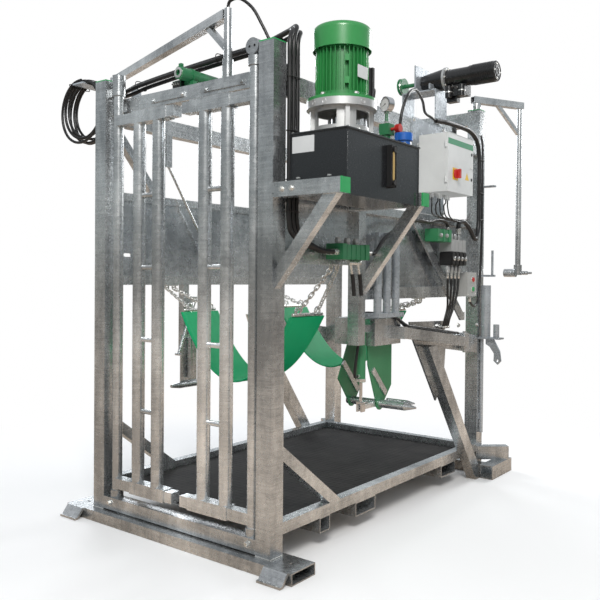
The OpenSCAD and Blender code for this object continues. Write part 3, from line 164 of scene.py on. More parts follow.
def set_world():
    """White to the camera, and a yard with ground, trees and sky to everything else."""
    world = bpy.data.worlds.new("studio")
    scene.world = world
    world.use_nodes = True
    nt = world.node_tree
    nt.nodes.clear()
    out = node(nt, "ShaderNodeOutputWorld")
    sky = node(nt, "ShaderNodeBackground", Strength=SKY_STRENGTH)
    white = node(nt, "ShaderNodeBackground", Color=(1, 1, 1, 1))
    mix = node(nt, "ShaderNodeMixShader")
    path = node(nt, "ShaderNodeLightPath")
    coord = node(nt, "ShaderNodeTexCoord")
    split = node(nt, "ShaderNodeSeparateXYZ")
    height = node(nt, "ShaderNodeMapRange", **{"From Min": -1})
    ramp = node(nt, "ShaderNodeValToRGB")
    while len(ramp.color_ramp.elements) < len(SKY_STOPS):
        ramp.color_ramp.elements.new(0.5)
    for stop, (position, tone) in zip(ramp.color_ramp.elements, SKY_STOPS):
        stop.position = position
        stop.color = (*tone, 1)
    wire(nt, (coord.outputs["Generated"], split.inputs[0]), (split.outputs["Z"], height.inputs["Value"]),
         (height.outputs[0], ramp.inputs[0]), (ramp.outputs[0], sky.inputs[0]),
         (path.outputs["Is Camera Ray"], mix.inputs[0]), (sky.outputs[0], mix.inputs[1]),
         (white.outputs[0], mix.inputs[2]), (mix.outputs[0], out.inputs[0]))


def set_floor():
    """Pale floor that keeps the shadow, fades to white away from the machine and mirrors as brown ground."""
    mesh = bpy.data.meshes.new("studio_floor")
    s, z = FLOOR_HALF, FLOOR_Z
    mesh.from_pydata([(-s, -s, z), (s, -s, z), (s, s, z), (-s, s, z)], [], [(0, 1, 2, 3)])
    floor = bpy.data.objects.new("studio_floor", mesh)
    scene.collection.objects.link(floor)
    m = bpy.data.materials.new("studio_floor")
    m.use_nodes = True
    nt = m.node_tree
    bsdf = nt.nodes["Principled BSDF"]
    bsdf.inputs["Roughness"].default_value = 0.9
    bsdf.inputs["Specular IOR Level"].default_value = 0.1
    white = node(nt, "ShaderNodeEmission")
    mix = node(nt, "ShaderNodeMixShader")
    path = node(nt, "ShaderNodeLightPath")
    coord = node(nt, "ShaderNodeTexCoord")
    far = node(nt, "ShaderNodeVectorMath", _operation="LENGTH")
    fade = node(nt, "ShaderNodeMapRange", _interpolation_type="SMOOTHSTEP",
                **{"From Min": FLOOR_FADE_START, "From Max": FLOOR_FADE_END})
    ground = mix_colour(nt, path.outputs["Is Glossy Ray"], FLOOR_SEEN, FLOOR_MIRRORED)
    wire(nt, (coord.outputs["Object"], far.inputs[0]), (far.outputs["Value"], fade.inputs["Value"]),
         (ground, bsdf.inputs["Base Color"]),
         (times(nt, fade.outputs[0], path.outputs["Is Camera Ray"]), mix.inputs[0]),
         (bsdf.outputs[0], mix.inputs[1]), (white.outputs[0], mix.inputs[2]),
         (mix.outputs[0], nt.nodes["Material Output"].inputs[0]))
    mesh.materials.append(m)


def set_studio():
    scene.view_settings.view_transform = "Standard"
    add_lamp("key_lamp", (3.6, -4.6, 5.2), (0, 0, 1.1), 2.2, 300, (1, 0.98, 0.95))
    add_lamp("side_lamp", (-4.4, 2.2, 3.6), (0, 0, 1.2), 2.4, 110, (0.93, 0.96, 1))
    add_lamp("back_lamp", (1.0, 5.0, 3.6), (0, 0, 1.2), 2.4, 120)
    set_world()
    set_floor()


def group(name, ins, outs):
    """A shader group with its inputs' start values and the names of its outputs."""
    g = bpy.data.node_groups.new(name, "ShaderNodeTree")
    for label, value in ins.items():
        kind = "NodeSocketColor" if isinstance(value, tuple) else "NodeSocketFloat"
        g.interface.new_socket(label, in_out="INPUT", socket_type=kind).default_value = value
    for label in outs:
        kind = "NodeSocketColor" if label == "Color" else "NodeSocketFloat"
        g.interface.new_socket(label, in_out="OUTPUT", socket_type=kind)
    return g, g.nodes.new("NodeGroupInput").outputs, g.nodes.new("NodeGroupOutput").inputs


def noise(g, vector, scale, detail=2.0, roughness=0.5, distortion=0.0):
    n = node(g, "ShaderNodeTexNoise", Detail=detail, Roughness=roughness, Distortion=distortion)
    put(g, scale, n.inputs["Scale"])
    put(g, vector, n.inputs["Vector"])
    return n.outputs["Fac"]


def stretched(g, vector, scale):
    n = node(g, "ShaderNodeMapping")
    n.inputs["Scale"].default_value = scale
    put(g, vector, n.inputs["Vector"])
    return n.outputs[0]


def make_zinc_group():
    """Hot-dip zinc: flat crystals, runs of thicker zinc, cloudy patches and fine lines across."""
    g, i, o = group("zinc_coat", {"Crystal": 60.0, "Light": (0.8, 0.82, 0.84, 1), "Dark": (0.4, 0.42, 0.44, 1),
                                  "Runs": 0.5}, ("Color", "Roughness", "Height"))
    spot = node(g, "ShaderNodeTexCoord").outputs["Object"]
    cells = node(g, "ShaderNodeTexVoronoi")
    split = node(g, "ShaderNodeSeparateColor")
    wire(g, (spot, cells.inputs["Vector"]), (i["Crystal"], cells.inputs["Scale"]),
         (cells.outputs["Color"], split.inputs[0]))
    tone, gloss, step = split.outputs
    cloud = noise(g, spot, 3.2, 6.0, 0.6)
    run = noise(g, stretched(g, spot, (1, 1, 0.12)), 26.0, 4.0, 0.55)
    run = maths(g, "SMOOTH_MIN", times(g, minus(g, run, 0.48), 6.0), 1.0, 0.2)
    run = times(g, run, i["Runs"])
    patch = times(g, minus(g, noise(g, spot, 1.7, 5.0, 0.55, 0.6), 0.5), 2.6)
    scratch = noise(g, stretched(g, spot, (0.25, 0.25, 7.0)), 34.0, 2.0, 0.6)
    line = times(g, minus(g, scratch, 0.5), 0.8)
    level = plus(g, times(g, tone, 0.16), times(g, cloud, 0.75), patch, line)
    fac = node(g, "ShaderNodeClamp")
    put(g, minus(g, level, times(g, run, 0.22)), fac.inputs[0])
    put(g, mix_colour(g, fac.outputs[0], i["Dark"], i["Light"]), o["Color"])
    put(g, plus(g, 0.17, times(g, gloss, 0.07), times(g, cloud, 0.12)), o["Roughness"])
    put(g, plus(g, times(g, step, 0.03), times(g, run, 0.5), times(g, scratch, 0.25), times(g, cloud, 0.5)),
        o["Height"])
    return g


def make_paint_group():
    """Sprayed paint: orange peel, slight shade changes and a film of dust."""
    g, i, o = group("paint_coat", {"Color": (0.5, 0.5, 0.5, 1), "Dust": 0.15, "Peel": 260.0,
                                   "Base Roughness": 0.35}, ("Color", "Roughness", "Height"))
    spot = node(g, "ShaderNodeTexCoord").outputs["Object"]
    cloud = noise(g, spot, 7.0, 5.0, 0.6)
    speck = noise(g, spot, 140.0, 3.0, 0.7)
    dark = mix_colour(g, 1.0, i["Color"], (0.72, 0.72, 0.72), "MULTIPLY")
    body = mix_colour(g, cloud, dark, i["Color"])
    film = times(g, times(g, speck, cloud), i["Dust"])
    put(g, mix_colour(g, film, body, (0.42, 0.4, 0.37)), o["Color"])
    put(g, plus(g, i["Base Roughness"], times(g, speck, 0.18)), o["Roughness"])
    put(g, noise(g, spot, i["Peel"]), o["Height"])
    return g


def make_fibre_group():
    """Woven grain that follows a piece's own UV map, with painted shade in the weave's low places."""
    g, i, o = group("woven_face", {"Color": (0.0, 0.3, 0.15, 1), "Threads": 300.0}, ("Color", "Height"))
    spot = node(g, "ShaderNodeUVMap").outputs[0]
    warp, weft = [node(g, "ShaderNodeTexWave", _bands_direction=way) for way in "XY"]
    for w in (warp, weft):
        wire(g, (spot, w.inputs["Vector"]), (i["Threads"], w.inputs["Scale"]))
    high = maths(g, "MAXIMUM", warp.outputs["Fac"], weft.outputs["Fac"])
    soil = noise(g, spot, 9.0, 6.0, 0.65)
    # Painted shade: the weave's low places between threads get the darker tone; the soil noise adds random
    # darker patches on top.
    dark = mix_colour(g, 1.0, i["Color"], (0.6, 0.6, 0.6), "MULTIPLY")
    put(g, mix_colour(g, times(g, high, soil), dark, i["Color"]), o["Color"])
    put(g, high, o["Height"])
    return g


ZINC = make_zinc_group()
PAINT = make_paint_group()
FIBRE = make_fibre_group()


def finish_material(name, grp, values, bump, distance=0.0006, metallic=0.0, coat=0.0, roughness=None,
                    specular=0.5):
    m = bpy.data.materials.new(name)
    m.use_nodes = True
    nt = m.node_tree
    bsdf = nt.nodes["Principled BSDF"].inputs
    bsdf["Metallic"].default_value = metallic
    bsdf["Specular IOR Level"].default_value = specular
    bsdf["Coat Weight"].default_value = coat
    bsdf["Coat Roughness"].default_value = 0.12
    call = node(nt, "ShaderNodeGroup", _node_tree=grp)
    for k, v in values.items():
        put(nt, v, call.inputs[k])
    put(nt, call.outputs["Color"], bsdf["Base Color"])
    put(nt, call.outputs["Roughness"] if roughness is None else roughness, bsdf["Roughness"])
    relief = node(nt, "ShaderNodeBump", Strength=bump, Distance=distance)
    wire(nt, (call.outputs["Height"], relief.inputs["Height"]), (relief.outputs[0], bsdf["Normal"]))
    return m


def zinc(name, crystal, light, dark, runs, bump=0.12, metallic=0.86):
    values = {"Crystal": crystal, "Light": light, "Dark": dark, "Runs": runs}
    return finish_material(name, ZINC, values, bump, 0.001, metallic=metallic)


def paint(name, colour, rough=0.3, dust=0.15, peel=260.0, bump=0.12, **shine):
    values = {"Color": colour, "Dust": dust, "Peel": peel, "Base Roughness": rough}
    return finish_material(name, PAINT, values, bump, **shine)


galvanised = zinc("hot_dip_zinc", 62.0, (0.84, 0.86, 0.87), (0.34, 0.355, 0.365), 0.7)
galvanised_tube = zinc("hot_dip_zinc_tube", 48.0, (0.88, 0.9, 0.91), (0.42, 0.435, 0.445), 0.9)
galvanised_sheet = zinc("hot_dip_zinc_sheet", 40.0, (0.74, 0.76, 0.78), (0.3, 0.32, 0.335), 0.5)
galvanised_plate = zinc("hot_dip_zinc_plate", 40.0, (0.6, 0.64, 0.68), (0.36, 0.385, 0.41), 0.3, 0.08, 0.55)
bright_zinc = zinc("plated_fastener", 220.0, (0.86, 0.86, 0.84), (0.58, 0.58, 0.56), 0.1, 0.15)
motor_green = paint("motor_green", (0.02, 0.245, 0.055), 0.26, 0.08, coat=0.3)
valve_green = paint("valve_green", (0.006, 0.19, 0.062), 0.32, 0.2, coat=0.2)
cap_green = paint("cap_green", (0.012, 0.34, 0.09), 0.3, 0.1, coat=0.1)
tank_black = paint("tank_black", (0.008, 0.009, 0.011), 0.16, 0.008, peel=90.0, bump=0.035, coat=0.6)
winch_black = paint("winch_black", (0.006, 0.006, 0.007), 0.2, 0.02, peel=420.0, coat=0.4)
moulded_black = paint("moulded_black", (0.007, 0.007, 0.008), 0.36, 0.03, peel=600.0, bump=0.25)
hose_black = paint("hose_rubber", (0.006, 0.006, 0.007), 0.28, 0.03, peel=900.0, bump=0.25)
mat_black = paint("mat_rubber", (0.007, 0.007, 0.008), 0.72, 0.16, peel=130.0, bump=0.9, specular=0.2)
chrome_steel = paint("ground_rod", (0.74, 0.75, 0.77), 0.08, 0.03, peel=700.0, bump=0.05, metallic=1.0)
cast_aluminium = paint("cast_aluminium", (0.6, 0.61, 0.61), 0.36, 0.1, peel=420.0, bump=0.5, metallic=0.75)
cabinet_grey = paint("cabinet_grey", (0.7, 0.71, 0.7), 0.38, 0.05, peel=800.0, bump=0.2)
box_grey = paint("box_grey", (0.42, 0.42, 0.4), 0.4, 0.2, peel=600.0, bump=0.3)
cap_blue = paint("cap_blue", (0.008, 0.13, 0.52), 0.28, 0.05, peel=500.0, bump=0.15, coat=0.2)
glass_amber = paint("level_glass_amber", (0.5, 0.33, 0.1), 0.12, 0.02, coat=0.6)
signal_red = paint("signal_red", (0.55, 0.014, 0.01), 0.26, 0.04, coat=0.3)
signal_yellow = paint("signal_yellow", (0.8, 0.52, 0.015), 0.34, 0.04)
button_green = paint("button_green", (0.02, 0.33, 0.1), 0.28, 0.04, coat=0.3)
stripe_green = paint("stripe_green", (0.008, 0.24, 0.1), 0.35, 0.03, peel=700.0)
plate_white = paint("bare_plate", (0.62, 0.63, 0.63), 0.34, 0.05, peel=700.0)
dial_white = paint("dial_white", (0.78, 0.78, 0.76), 0.4, 0.02, peel=900.0)
belt_green = finish_material("belt_webbing", FIBRE, {"Color": (0.001, 0.5, 0.185), "Threads": 90.0}, 0.16,
                             roughness=0.55, specular=0.25)

NODE_FINISH = {
    galvanised: "base_sill anchor_feet corner_posts crossbeams rear_skids long_rails mid_post fork_pockets "
                "floor_plate frame_braces diagonal_legs tank_brackets pivot_bearings gate_stop_bars "
                "swivel_boom gallows_arm gallows_clamp lift_arm hoof_rest left_leg_support",
    galvanised_tube: "left_gate_arm left_gate_sleeve right_gate_arm right_gate_sleeve",
    galvanised_sheet: "side_panels",
    galvanised_plate: "mounting_plates",
    bright_zinc: "belt_hangers",
    motor_green: "motor_stator fan_cowl",
    valve_green: "gate_cylinder leg_cheeks lift_cylinder valve_blocks gauge_and_relief_valve winch_pulley",
    cap_green: "green_end_caps",
    tank_black: "oil_tank tank_lid",
    winch_black: "winch_gearmotor",
    moulded_black: "terminal_box level_gauge cooling_fan",
    chrome_steel: "lift_rod motor_rotor valve_levers",
    cast_aluminium: "bell_housing hydraulic_pump",
    mat_black: "floor_mat",
    hose_black: "hydraulic_hoses hose_coil",
    cap_blue: "filler_cap",
    signal_red: "relief_knob main_switch red_button",
    button_green: "green_button",
    cabinet_grey: "cabinet_shell cabinet_door",
    box_grey: "button_box",
    belt_green: "front_belt rear_belt",
}


def dress_nodes():
    for finish, names in NODE_FINISH.items():
        for n in names.split():
            ob = bpy.data.objects[n]
            for slot in ob.material_slots:
                slot.material = finish
            if not ob.material_slots:
                ob.data.materials.append(finish)


def add_to_scene(name, mesh, body):
    ob = bpy.data.objects.new(name, mesh)
    scene.collection.objects.link(ob)
    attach(ob, body)
    return ob


def clean(mesh, doubles=0.0, bevel=0.0):
    """Merges vertices closer than doubles, turns the faces out and rounds the sharp edges by bevel."""
    bm = bmesh.new()
    bm.from_mesh(mesh)
    if doubles:
        bmesh.ops.remove_doubles(bm, verts=bm.verts, dist=doubles)
    bmesh.ops.recalc_face_normals(bm, faces=bm.faces)
    if bevel:
        sharp = [e for e in bm.edges if len(e.link_faces) == 2 and e.calc_face_angle(0) > 0.5]
        bmesh.ops.bevel(bm, geom=sharp, offset=bevel, segments=2, affect="EDGES", clamp_overlap=True)
    bm.to_mesh(mesh)
    bm.free()


def shade(mesh, angle):
    mesh.shade_smooth()
    mesh.set_sharp_from_angle(angle=angle)


def new_piece(name, verts, faces, mat, body="frame", slot=None, smooth=False, uvs=None, bevel=0.0):
    mesh = bpy.data.meshes.new(name)
    mesh.from_pydata([tuple(v) for v in verts], [], faces)
    if uvs:
        layer = mesh.uv_layers.new(name="UVMap")
        for loop in mesh.loops:
            layer.data[loop.index].uv = uvs[loop.vertex_index]
    clean(mesh, bevel=bevel)
    mesh.materials.append(mat)
    if smooth:
        shade(mesh, SMOOTH_ANGLE)
    return add_to_scene(name, mesh, body)


class Builder:
    """Collects several closed shapes into one piece."""

    def __init__(self):
        self.v, self.f = [], []

    def add(self, verts, faces, place=None):
        k = len(self.v)
        self.v += [tuple(place @ Vector(p)) if place else tuple(p) for p in verts]
        self.f += [tuple(i + k for i in f) for f in faces]
        return self

    def box(self, lo, hi, place=None):
        x0, y0, z0 = lo
        x1, y1, z1 = hi
        v = [(x, y, z) for z in (z0, z1) for x, y in ((x0, y0), (x1, y0), (x1, y1), (x0, y1))]
        f = [(3, 2, 1, 0), (4, 5, 6, 7), (0, 1, 5, 4), (1, 2, 6, 5), (2, 3, 7, 6), (3, 0, 4, 7)]
        return self.add(v, f, place)

    def lathe(self, profile, place, sides=32, ring=False):
        """profile: (radius, height) pairs upwards along the place's Z; a ring's profile closes on itself."""
        v, f = [], []
        n = len(profile)
        for k in range(sides):
            a = 2 * pi * k / sides
            v += [(r * cos(a), r * sin(a), z) for r, z in profile]
        for k in range(sides):
            for j in range(n if ring else n - 1):
                a, b, up = k * n + j, ((k + 1) % sides) * n + j, (j + 1) % n - j
                f.append((a, b, b + up, a + up))
        if not ring and profile[0][0] > 1e-6:
            f.append(tuple(k * n for k in reversed(range(sides))))
        if not ring and profile[-1][0] > 1e-6:
            f.append(tuple(k * n + n - 1 for k in range(sides)))
        return self.add(v, f, place)

    def tube(self, points, r, sides, rib=0.0):
        v, f, _ = sweep(points, r, sides, rib)
        return self.add(v, f)

    def piece(self, name, mat, **k):
        ob = new_piece(name, self.v, self.f, mat, **k)
        clean(ob.data, 1e-6)
        return ob


def box_piece(name, lo, hi, mat, **k):
    return Builder().box(lo, hi).piece(name, mat, **k)


def along(p, q):
    """Place whose Z runs from p towards q."""
    d = Vector(q) - Vector(p)
    return Matrix.Translation(p) @ d.to_track_quat("Z", "Y").to_matrix().to_4x4()


def at(place, axis="z", spin=0):
    """Place whose Z runs along the named axis, turned round it by spin degrees."""
    turn = {"x": Matrix.Rotation(radians(90), 4, "Y"), "y": Matrix.Rotation(radians(-90), 4, "X"),
            "z": Matrix.Identity(4)}[axis]
    return Matrix.Translation(place) @ turn @ Matrix.Rotation(radians(spin), 4, "Z")


def circle(centre, across, up, r, n):
    """Points round a circle; the last is the first again."""
    angles = [2 * pi * j / n for j in range(n + 1)]
    return [Vector(centre) + Vector(across) * r * cos(a) + Vector(up) * r * sin(a) for a in angles]


def curve_points(p, per=6):
    p = [Vector(a) for a in p]
    out = []
    for i in range(len(p) - 1):
        a, b, c, d = p[max(i - 1, 0)], p[i], p[i + 1], p[min(i + 2, len(p) - 1)]
        for k in range(per):
            t = k / per
            out.append(0.5 * (2 * b + (c - a) * t + (2 * a - 5 * b + 4 * c - d) * t * t
                              + (3 * b - a - 3 * c + d) * t ** 3))
    return out + [p[-1]]


def sweep(p, r, sides=12, rib=0.0):
    """Closed round tube along points, with its UVs in metres."""
    p = [Vector(a) for a in p]
    n = len(p)
    t = [(p[min(i + 1, n - 1)] - p[max(i - 1, 0)]).normalized() for i in range(n)]
    m = t[0].orthogonal().normalized()
    v, f, uv = [], [], []
    run = 0.0
    for i in range(n):
        m = (m - m.dot(t[i]) * t[i]).normalized()
        b = t[i].cross(m)
        if i:
            run += (p[i] - p[i - 1]).length
        rr = r * (1 - rib * (i % 2))
        for k in range(sides):
            a = 2 * pi * k / sides
            v.append(p[i] + rr * (cos(a) * m + sin(a) * b))
            uv.append((k / sides * 2 * pi * r, run))
    for i in range(n - 1):
        for k in range(sides):
            a, b = i * sides + k, i * sides + (k + 1) % sides
            f.append((a, b, b + sides, a + sides))
    f.append(tuple(reversed(range(sides))))
    f.append(tuple(range((n - 1) * sides, n * sides)))
    return v, f, uv


def copies_tree(name, kind):
    """Geometry Nodes that copy a shape in a row, round a circle, or as links with a quarter turn each."""
    g = bpy.data.node_groups.new(name, "GeometryNodeTree")
    for label, sort in (("Geometry", "Geometry"), ("Count", "Int"), ("Step", "Vector"), ("Radius", "Float"),
                        ("Finish", "Material")):
        g.interface.new_socket(label, in_out="INPUT", socket_type="NodeSocket" + sort)
    g.interface.new_socket("Geometry", in_out="OUTPUT", socket_type="NodeSocketGeometry")
    i, o = g.nodes.new("NodeGroupInput").outputs, g.nodes.new("NodeGroupOutput").inputs
    copy = node(g, "GeometryNodeInstanceOnPoints")
    real = node(g, "GeometryNodeRealizeInstances")
    coat = node(g, "GeometryNodeSetMaterial")
    if kind == "circle":
        points = node(g, "GeometryNodeMeshCircle")
        wire(g, (i["Count"], points.inputs["Vertices"]), (i["Radius"], points.inputs["Radius"]))
    else:
        points = node(g, "GeometryNodeMeshLine")
        wire(g, (i["Count"], points.inputs["Count"]), (i["Step"], points.inputs["Offset"]))
    if kind != "row":
        index = node(g, "GeometryNodeInputIndex").outputs[0]
        spin = node(g, "ShaderNodeCombineXYZ")
        if kind == "circle":
            angle = times(g, maths(g, "DIVIDE", index, i["Count"]), 2 * pi)
        else:
            angle = times(g, maths(g, "MODULO", index, 2), pi / 2)
        wire(g, (angle, spin.inputs["Z"]), (spin.outputs[0], copy.inputs["Rotation"]))
    wire(g, (points.outputs[0], copy.inputs["Points"]), (i["Geometry"], copy.inputs["Instance"]),
         (copy.outputs[0], real.inputs[0]), (real.outputs[0], coat.inputs[0]),
         (i["Finish"], coat.inputs["Material"]), (coat.outputs[0], o[0]))
    return g


ROW = copies_tree("copies_in_a_row", "row")
CIRCLE = copies_tree("copies_round_a_circle", "circle")
LINKS = copies_tree("chain_of_links", "links")


def copied(name, builder, mat, tree, place, **values):
    """Runs a tree on one small shape and returns the result as a plain mesh."""
    mesh = bpy.data.meshes.new(name + "_one")
    mesh.from_pydata(builder.v, [], builder.f)
    one = bpy.data.objects.new(name + "_one", mesh)
    scene.collection.objects.link(one)
    mod = one.modifiers.new("copies", "NODES")
    mod.node_group = tree
    values["Finish"] = mat
    for item in tree.interface.items_tree:
        if item.in_out == "INPUT" and item.name in values:
            mod[item.identifier] = values[item.name]
    bpy.context.view_layer.update()
    done = bpy.data.meshes.new_from_object(one.evaluated_get(bpy.context.evaluated_depsgraph_get()))
    done.name = name
    one.modifiers.clear()
    bpy.data.objects.remove(one)
    done.transform(place)
    return done


def repeat(name, builder, mat, count, place, step=(0, 0, 0), radius=0.0, body="frame", smooth=True):
    """A row of copies, or a circle of them where a radius is given."""
    tree = CIRCLE if radius else ROW
    done = copied(name, builder, mat, tree, place, Count=count, Step=step, Radius=radius)
    clean(done)
    if smooth:
        shade(done, COPY_SMOOTH_ANGLE)
    return add_to_scene(name, done, body)


def hex_bolt(r, h):
    b = Builder().lathe([(r * 1.35, 0), (r * 1.35, h * 0.18), (0, h * 0.18)], at((0, 0, 0)), 20)
    return b.lathe([(r, h * 0.18), (r, h * 0.86), (r * 0.86, h), (0, h)], at((0, 0, 0)), 6)


def belt_point(u):
    x = BELT_X0 + (BELT_X1 - BELT_X0) * u
    k = (x - (BELT_X0 + BELT_X1) / 2) / ((BELT_X1 - BELT_X0) / 2)
    return Vector((x, 0, BELT_TOP - BELT_SAG + BELT_SAG * k * k))


def make_belt(name, y0, replaced):
    """One sheet with rolled edges, hem seams and a slight crown across its width."""
    nu, nv, half_t = 64, 26, 0.0035
    v, f, uv = [], [], []
    for side in (1, -1):
        for i in range(nu + 1):
            u = i / nu
            p = belt_point(u)
            d = (belt_point(min(u + 0.01, 1)) - belt_point(max(u - 0.01, 0))).normalized()
            normal = Vector((-d.z, 0, d.x))
            for j in range(nv + 1):
                s = j / nv
                edge = min(s, 1 - s) * BELT_W
                roll = 0.0022 * exp(-((edge - 0.006) / 0.006) ** 2)
                seam = -0.0012 * exp(-((edge - 0.022) / 0.0022) ** 2)
                crown = 0.0018 * sin(pi * s) * sin(3.0 * pi * u + y0 * 9)
                h = 0.004 + crown + side * (half_t + roll + seam) * (1 if 0 < j < nv else 0.4)
                v.append(p + normal * h + Vector((0, y0 + s * BELT_W, 0)))
                uv.append((u * 0.95, s * BELT_W))
    w = nv + 1
    top = (nu + 1) * w
    for i in range(nu):
        for j in range(nv):
            a = i * w + j
            f.append((a, a + w, a + w + 1, a + 1))
            f.append((top + a, top + a + 1, top + a + w + 1, top + a + w))
    rim = list(range(w)) + [i * w + nv for i in range(1, nu + 1)]
    rim += [nu * w + j for j in range(nv - 1, -1, -1)] + [i * w for i in range(nu - 1, 0, -1)]
    for a, b in zip(rim, rim[1:] + rim[:1]):
        f.append((a, b, top + b, top + a))
    ob = new_piece(name, v, f, belt_green, smooth=True, uvs=uv)
    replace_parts(ob, replaced)


def hose_runs():
    """Route and radius of each hose, with the points of the part's source; x is the frame's right side."""
    x = 576
    runs = []
    for i in range(3):
        y = -862 + 24 * i
        z = 18 if i == 1 else 0
        down = -952 + 26 * i
        post = x + 21
        end = x + 40 + 22 * i
        runs.append(([
            (-690, y, 2150 - z), (-620, y, 2140), (-540, y, 2146 + z), (-440, y, 2160 + z),
            (-150, y, 2182 + z), (100, y, 2196 + z), (350, y, 2210 + z), (500, y - 10, 2232 + z),
            (575, (y + down) / 2, 2228 + z), (post, down, 2170), (post, down, 2050), (post, down, 1800),
            (post, down, 1560), (post, down, 1440), (post + 4, down + 30, 1370),
            (x + 48 + 8 * i, -790, 1318), (end, -740, 1312), (end, -690.3, 1312)], 20))
    runs += [
        ([(x + 65, -423.7, 1315), (x + 65, -390, 1315), (x + 65, -350, 1322), (x + 62, -250, 1400),
          (x + 66, -60, 1475), (x + 66, 60, 1500), (x + 62, 180, 1500), (x + 50, 330, 1520),
          (x + 50, 415, 1510), (x + 50, 424, 1478), (x + 50, 424, 1454.3)], 18),
        ([(590, 340, 2068), (600, 470, 2076), (602, 640, 2080), (604, 760, 2072), (608, 840, 2030),
          (610, 868, 1950), (610, 872, 1800), (610, 872, 1620), (612, 860, 1500), (620, 800, 1440),
          (626, 720, 1490), (626, 640, 1530), (626, 572, 1520), (626, 562, 1484), (626, 562, 1454.3)], 26),
        ([(606, 905, 2075), (616, 906, 2010), (616, 906, 1900), (616, 906, 1700), (616, 906, 1500),
          (614, 900, 1300), (618, 860, 1090), (626, 790, 1040), (634, 720, 1060), (636, 700, 1080),
          (636, 700, 1099.7)], 14),
        ([(220, -920, 2385.7), (220, -920, 2401), (234, -920, 2419), (280, -910, 2421), (340, -892, 2370),
          (385, -874, 2285), (420, -860, 2217), (480, -860, 2219)], 14),
        ([(750, -613.7, 2010), (750, -580, 2010), (750, -550, 2026), (720, -510, 1990), (696, -478, 1900),
          (690, -470, 1830), (686, -468, 1800), (686, -468, 1782.3)], 14),
        ([(790, -424.7, 1850), (790, -400, 1850), (800, -390, 1960), (800, -330, 2050), (740, -150, 2110),
          (660, 60, 2110), (600, 200, 2085), (590, 340, 2068)], 14)]
    for i in range(5):
        cx, cy, z = 660 + 12 * (i % 2), 170 + 46 * i, 1650
        runs.append(([
            (cx, cy, z - 22.3), (cx, cy, z - 40), (660, 172 + 46 * i, z - 60), (650, 210 + 50 * i, z - 110),
            (634, 440 + 30 * i, z - 124), (618, 640 + 12 * i, z - 120 + 5 * i),
            (600 + 2 * i, 760, z - 100 + 9 * i)], 7))
    for i in range(4):
        y, low = 424 + 46 * i, 430 + 20 * i
        runs.append(([
            (x + 54, y, 1234.7), (x + 54, y, 1200), (x + 52, 430 + 40 * i, 1120), (x + 42, 450 + 26 * i, 1040),
            (x + 34, low + 4, 975), (x + 24, low, 930), (x + 2.3, low, 930)], 12))
    return [([tuple(c / 1000 for c in p) for p in points], d / 2000) for points, d in runs]


def straight_ends(p):
    p = [Vector(a) for a in p]
    return [p[0], p[0].lerp(p[1], 0.35)] + p[1:-1] + [p[-1].lerp(p[-2], 0.35), p[-1]]


def hose_piece(name, tubes, body="frame"):
    """One piece from several tubes, each given by its points, radius and sides."""
    v, f, uv = [], [], []
    for points, r, sides in tubes:
        a, b, c = sweep(points, r, sides)
        f += [tuple(i + len(v) for i in face) for face in b]
        v += a
        uv += c
    return new_piece(name, v, f, hose_black, body=body, smooth=True, uvs=uv)


def make_hoses():
    tubes = [(curve_points(straight_ends(points)), r, 14) for points, r in hose_runs()]
    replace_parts(hose_piece("rubber_hoses", tubes), "hydraulic_hoses")


def make_coil():
    """The put-away hose: one tube in loops that hang a little wider and longer in turn."""
    per = 48
    pts = []
    for i in range(COIL_LOOPS * per + 1):
        a = radians(90 + 360 * i / per)
        turn = i / per
        wide = COIL_R * (1 + 0.075 * sin(2.4 * turn) * (1 - sin(a)) / 2)
        tall = COIL_R * (1 + 0.06 * sin(1.7 * turn + 1.0))
        pts.append(Vector((COIL_X + wide * cos(a), COIL_Y + COIL_STEP * turn,
                           COIL_Z + COIL_R - tall * (1 - sin(a)))))
    tail = Vector((2 * HOSE_COIL_R, 0, 0))
    pts = [pts[0] + tail] + pts + [pts[-1] - tail]
    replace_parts(hose_piece("coiled_hose", [(pts, HOSE_COIL_R, 12)]), "hose_coil")


# Rows of hexagon heads: name, first bolt, way that the heads point, step, count, head's radius and height
BOLT_ROWS = (
    ("threshold_bolts", (-0.451, -1.029, 0.092), (0, -1, 0), (0.902, 0, 0), 2, 0.0115, 0.012),
    ("front_ear_bolts", (0.678, -0.994, 1.588), (0, 0, 1), (0.152, 0, 0), 2, 0.009, 0.01),
    ("rear_ear_bolts", (0.678, -0.37, 1.588), (0, 0, 1), (0.152, 0, 0), 2, 0.009, 0.01),
    ("inner_lid_screws", (0.6195, -0.955, 1.782), (0, 0, 1), (0, 0.109, 0), 6, 0.0052, 0.006),
    ("outer_lid_screws", (0.8885, -0.955, 1.782), (0, 0, 1), (0, 0.109, 0), 6, 0.0052, 0.006),
    ("front_plate_bolts", (0.582, 0.112, 1.566), (1, 0, 0), (0, 0, 0.234), 3, 0.0075, 0.008),
    ("rear_plate_bolts", (0.582, 0.448, 1.566), (1, 0, 0), (0, 0, 0.234), 3, 0.0075, 0.008),
    ("gusset_bolts", (0.578, 0.15, 0.945), (1, 0, 0), (0, 0.26, -0.008), 4, 0.01, 0.011),
    ("saddle_bolts", (-0.582, -0.77, 1.985), (-1, 0, 0), (0, 0, 0.035), 2, 0.0075, 0.008),
    ("bracket_bolts", (0.62, -1.029, 1.552), (0, -1, 0), (0.05, 0, 0), 2, 0.0095, 0.01),
    ("switch_box_bolts", (0.65, 0.652, 1.112), (1, 0, 0), (0, 0, 0.116), 2, 0.004, 0.003),
    ("switch_box_bolts_rear", (0.65, 0.748, 1.112), (1, 0, 0), (0, 0, 0.116), 2, 0.004, 0.003),
)
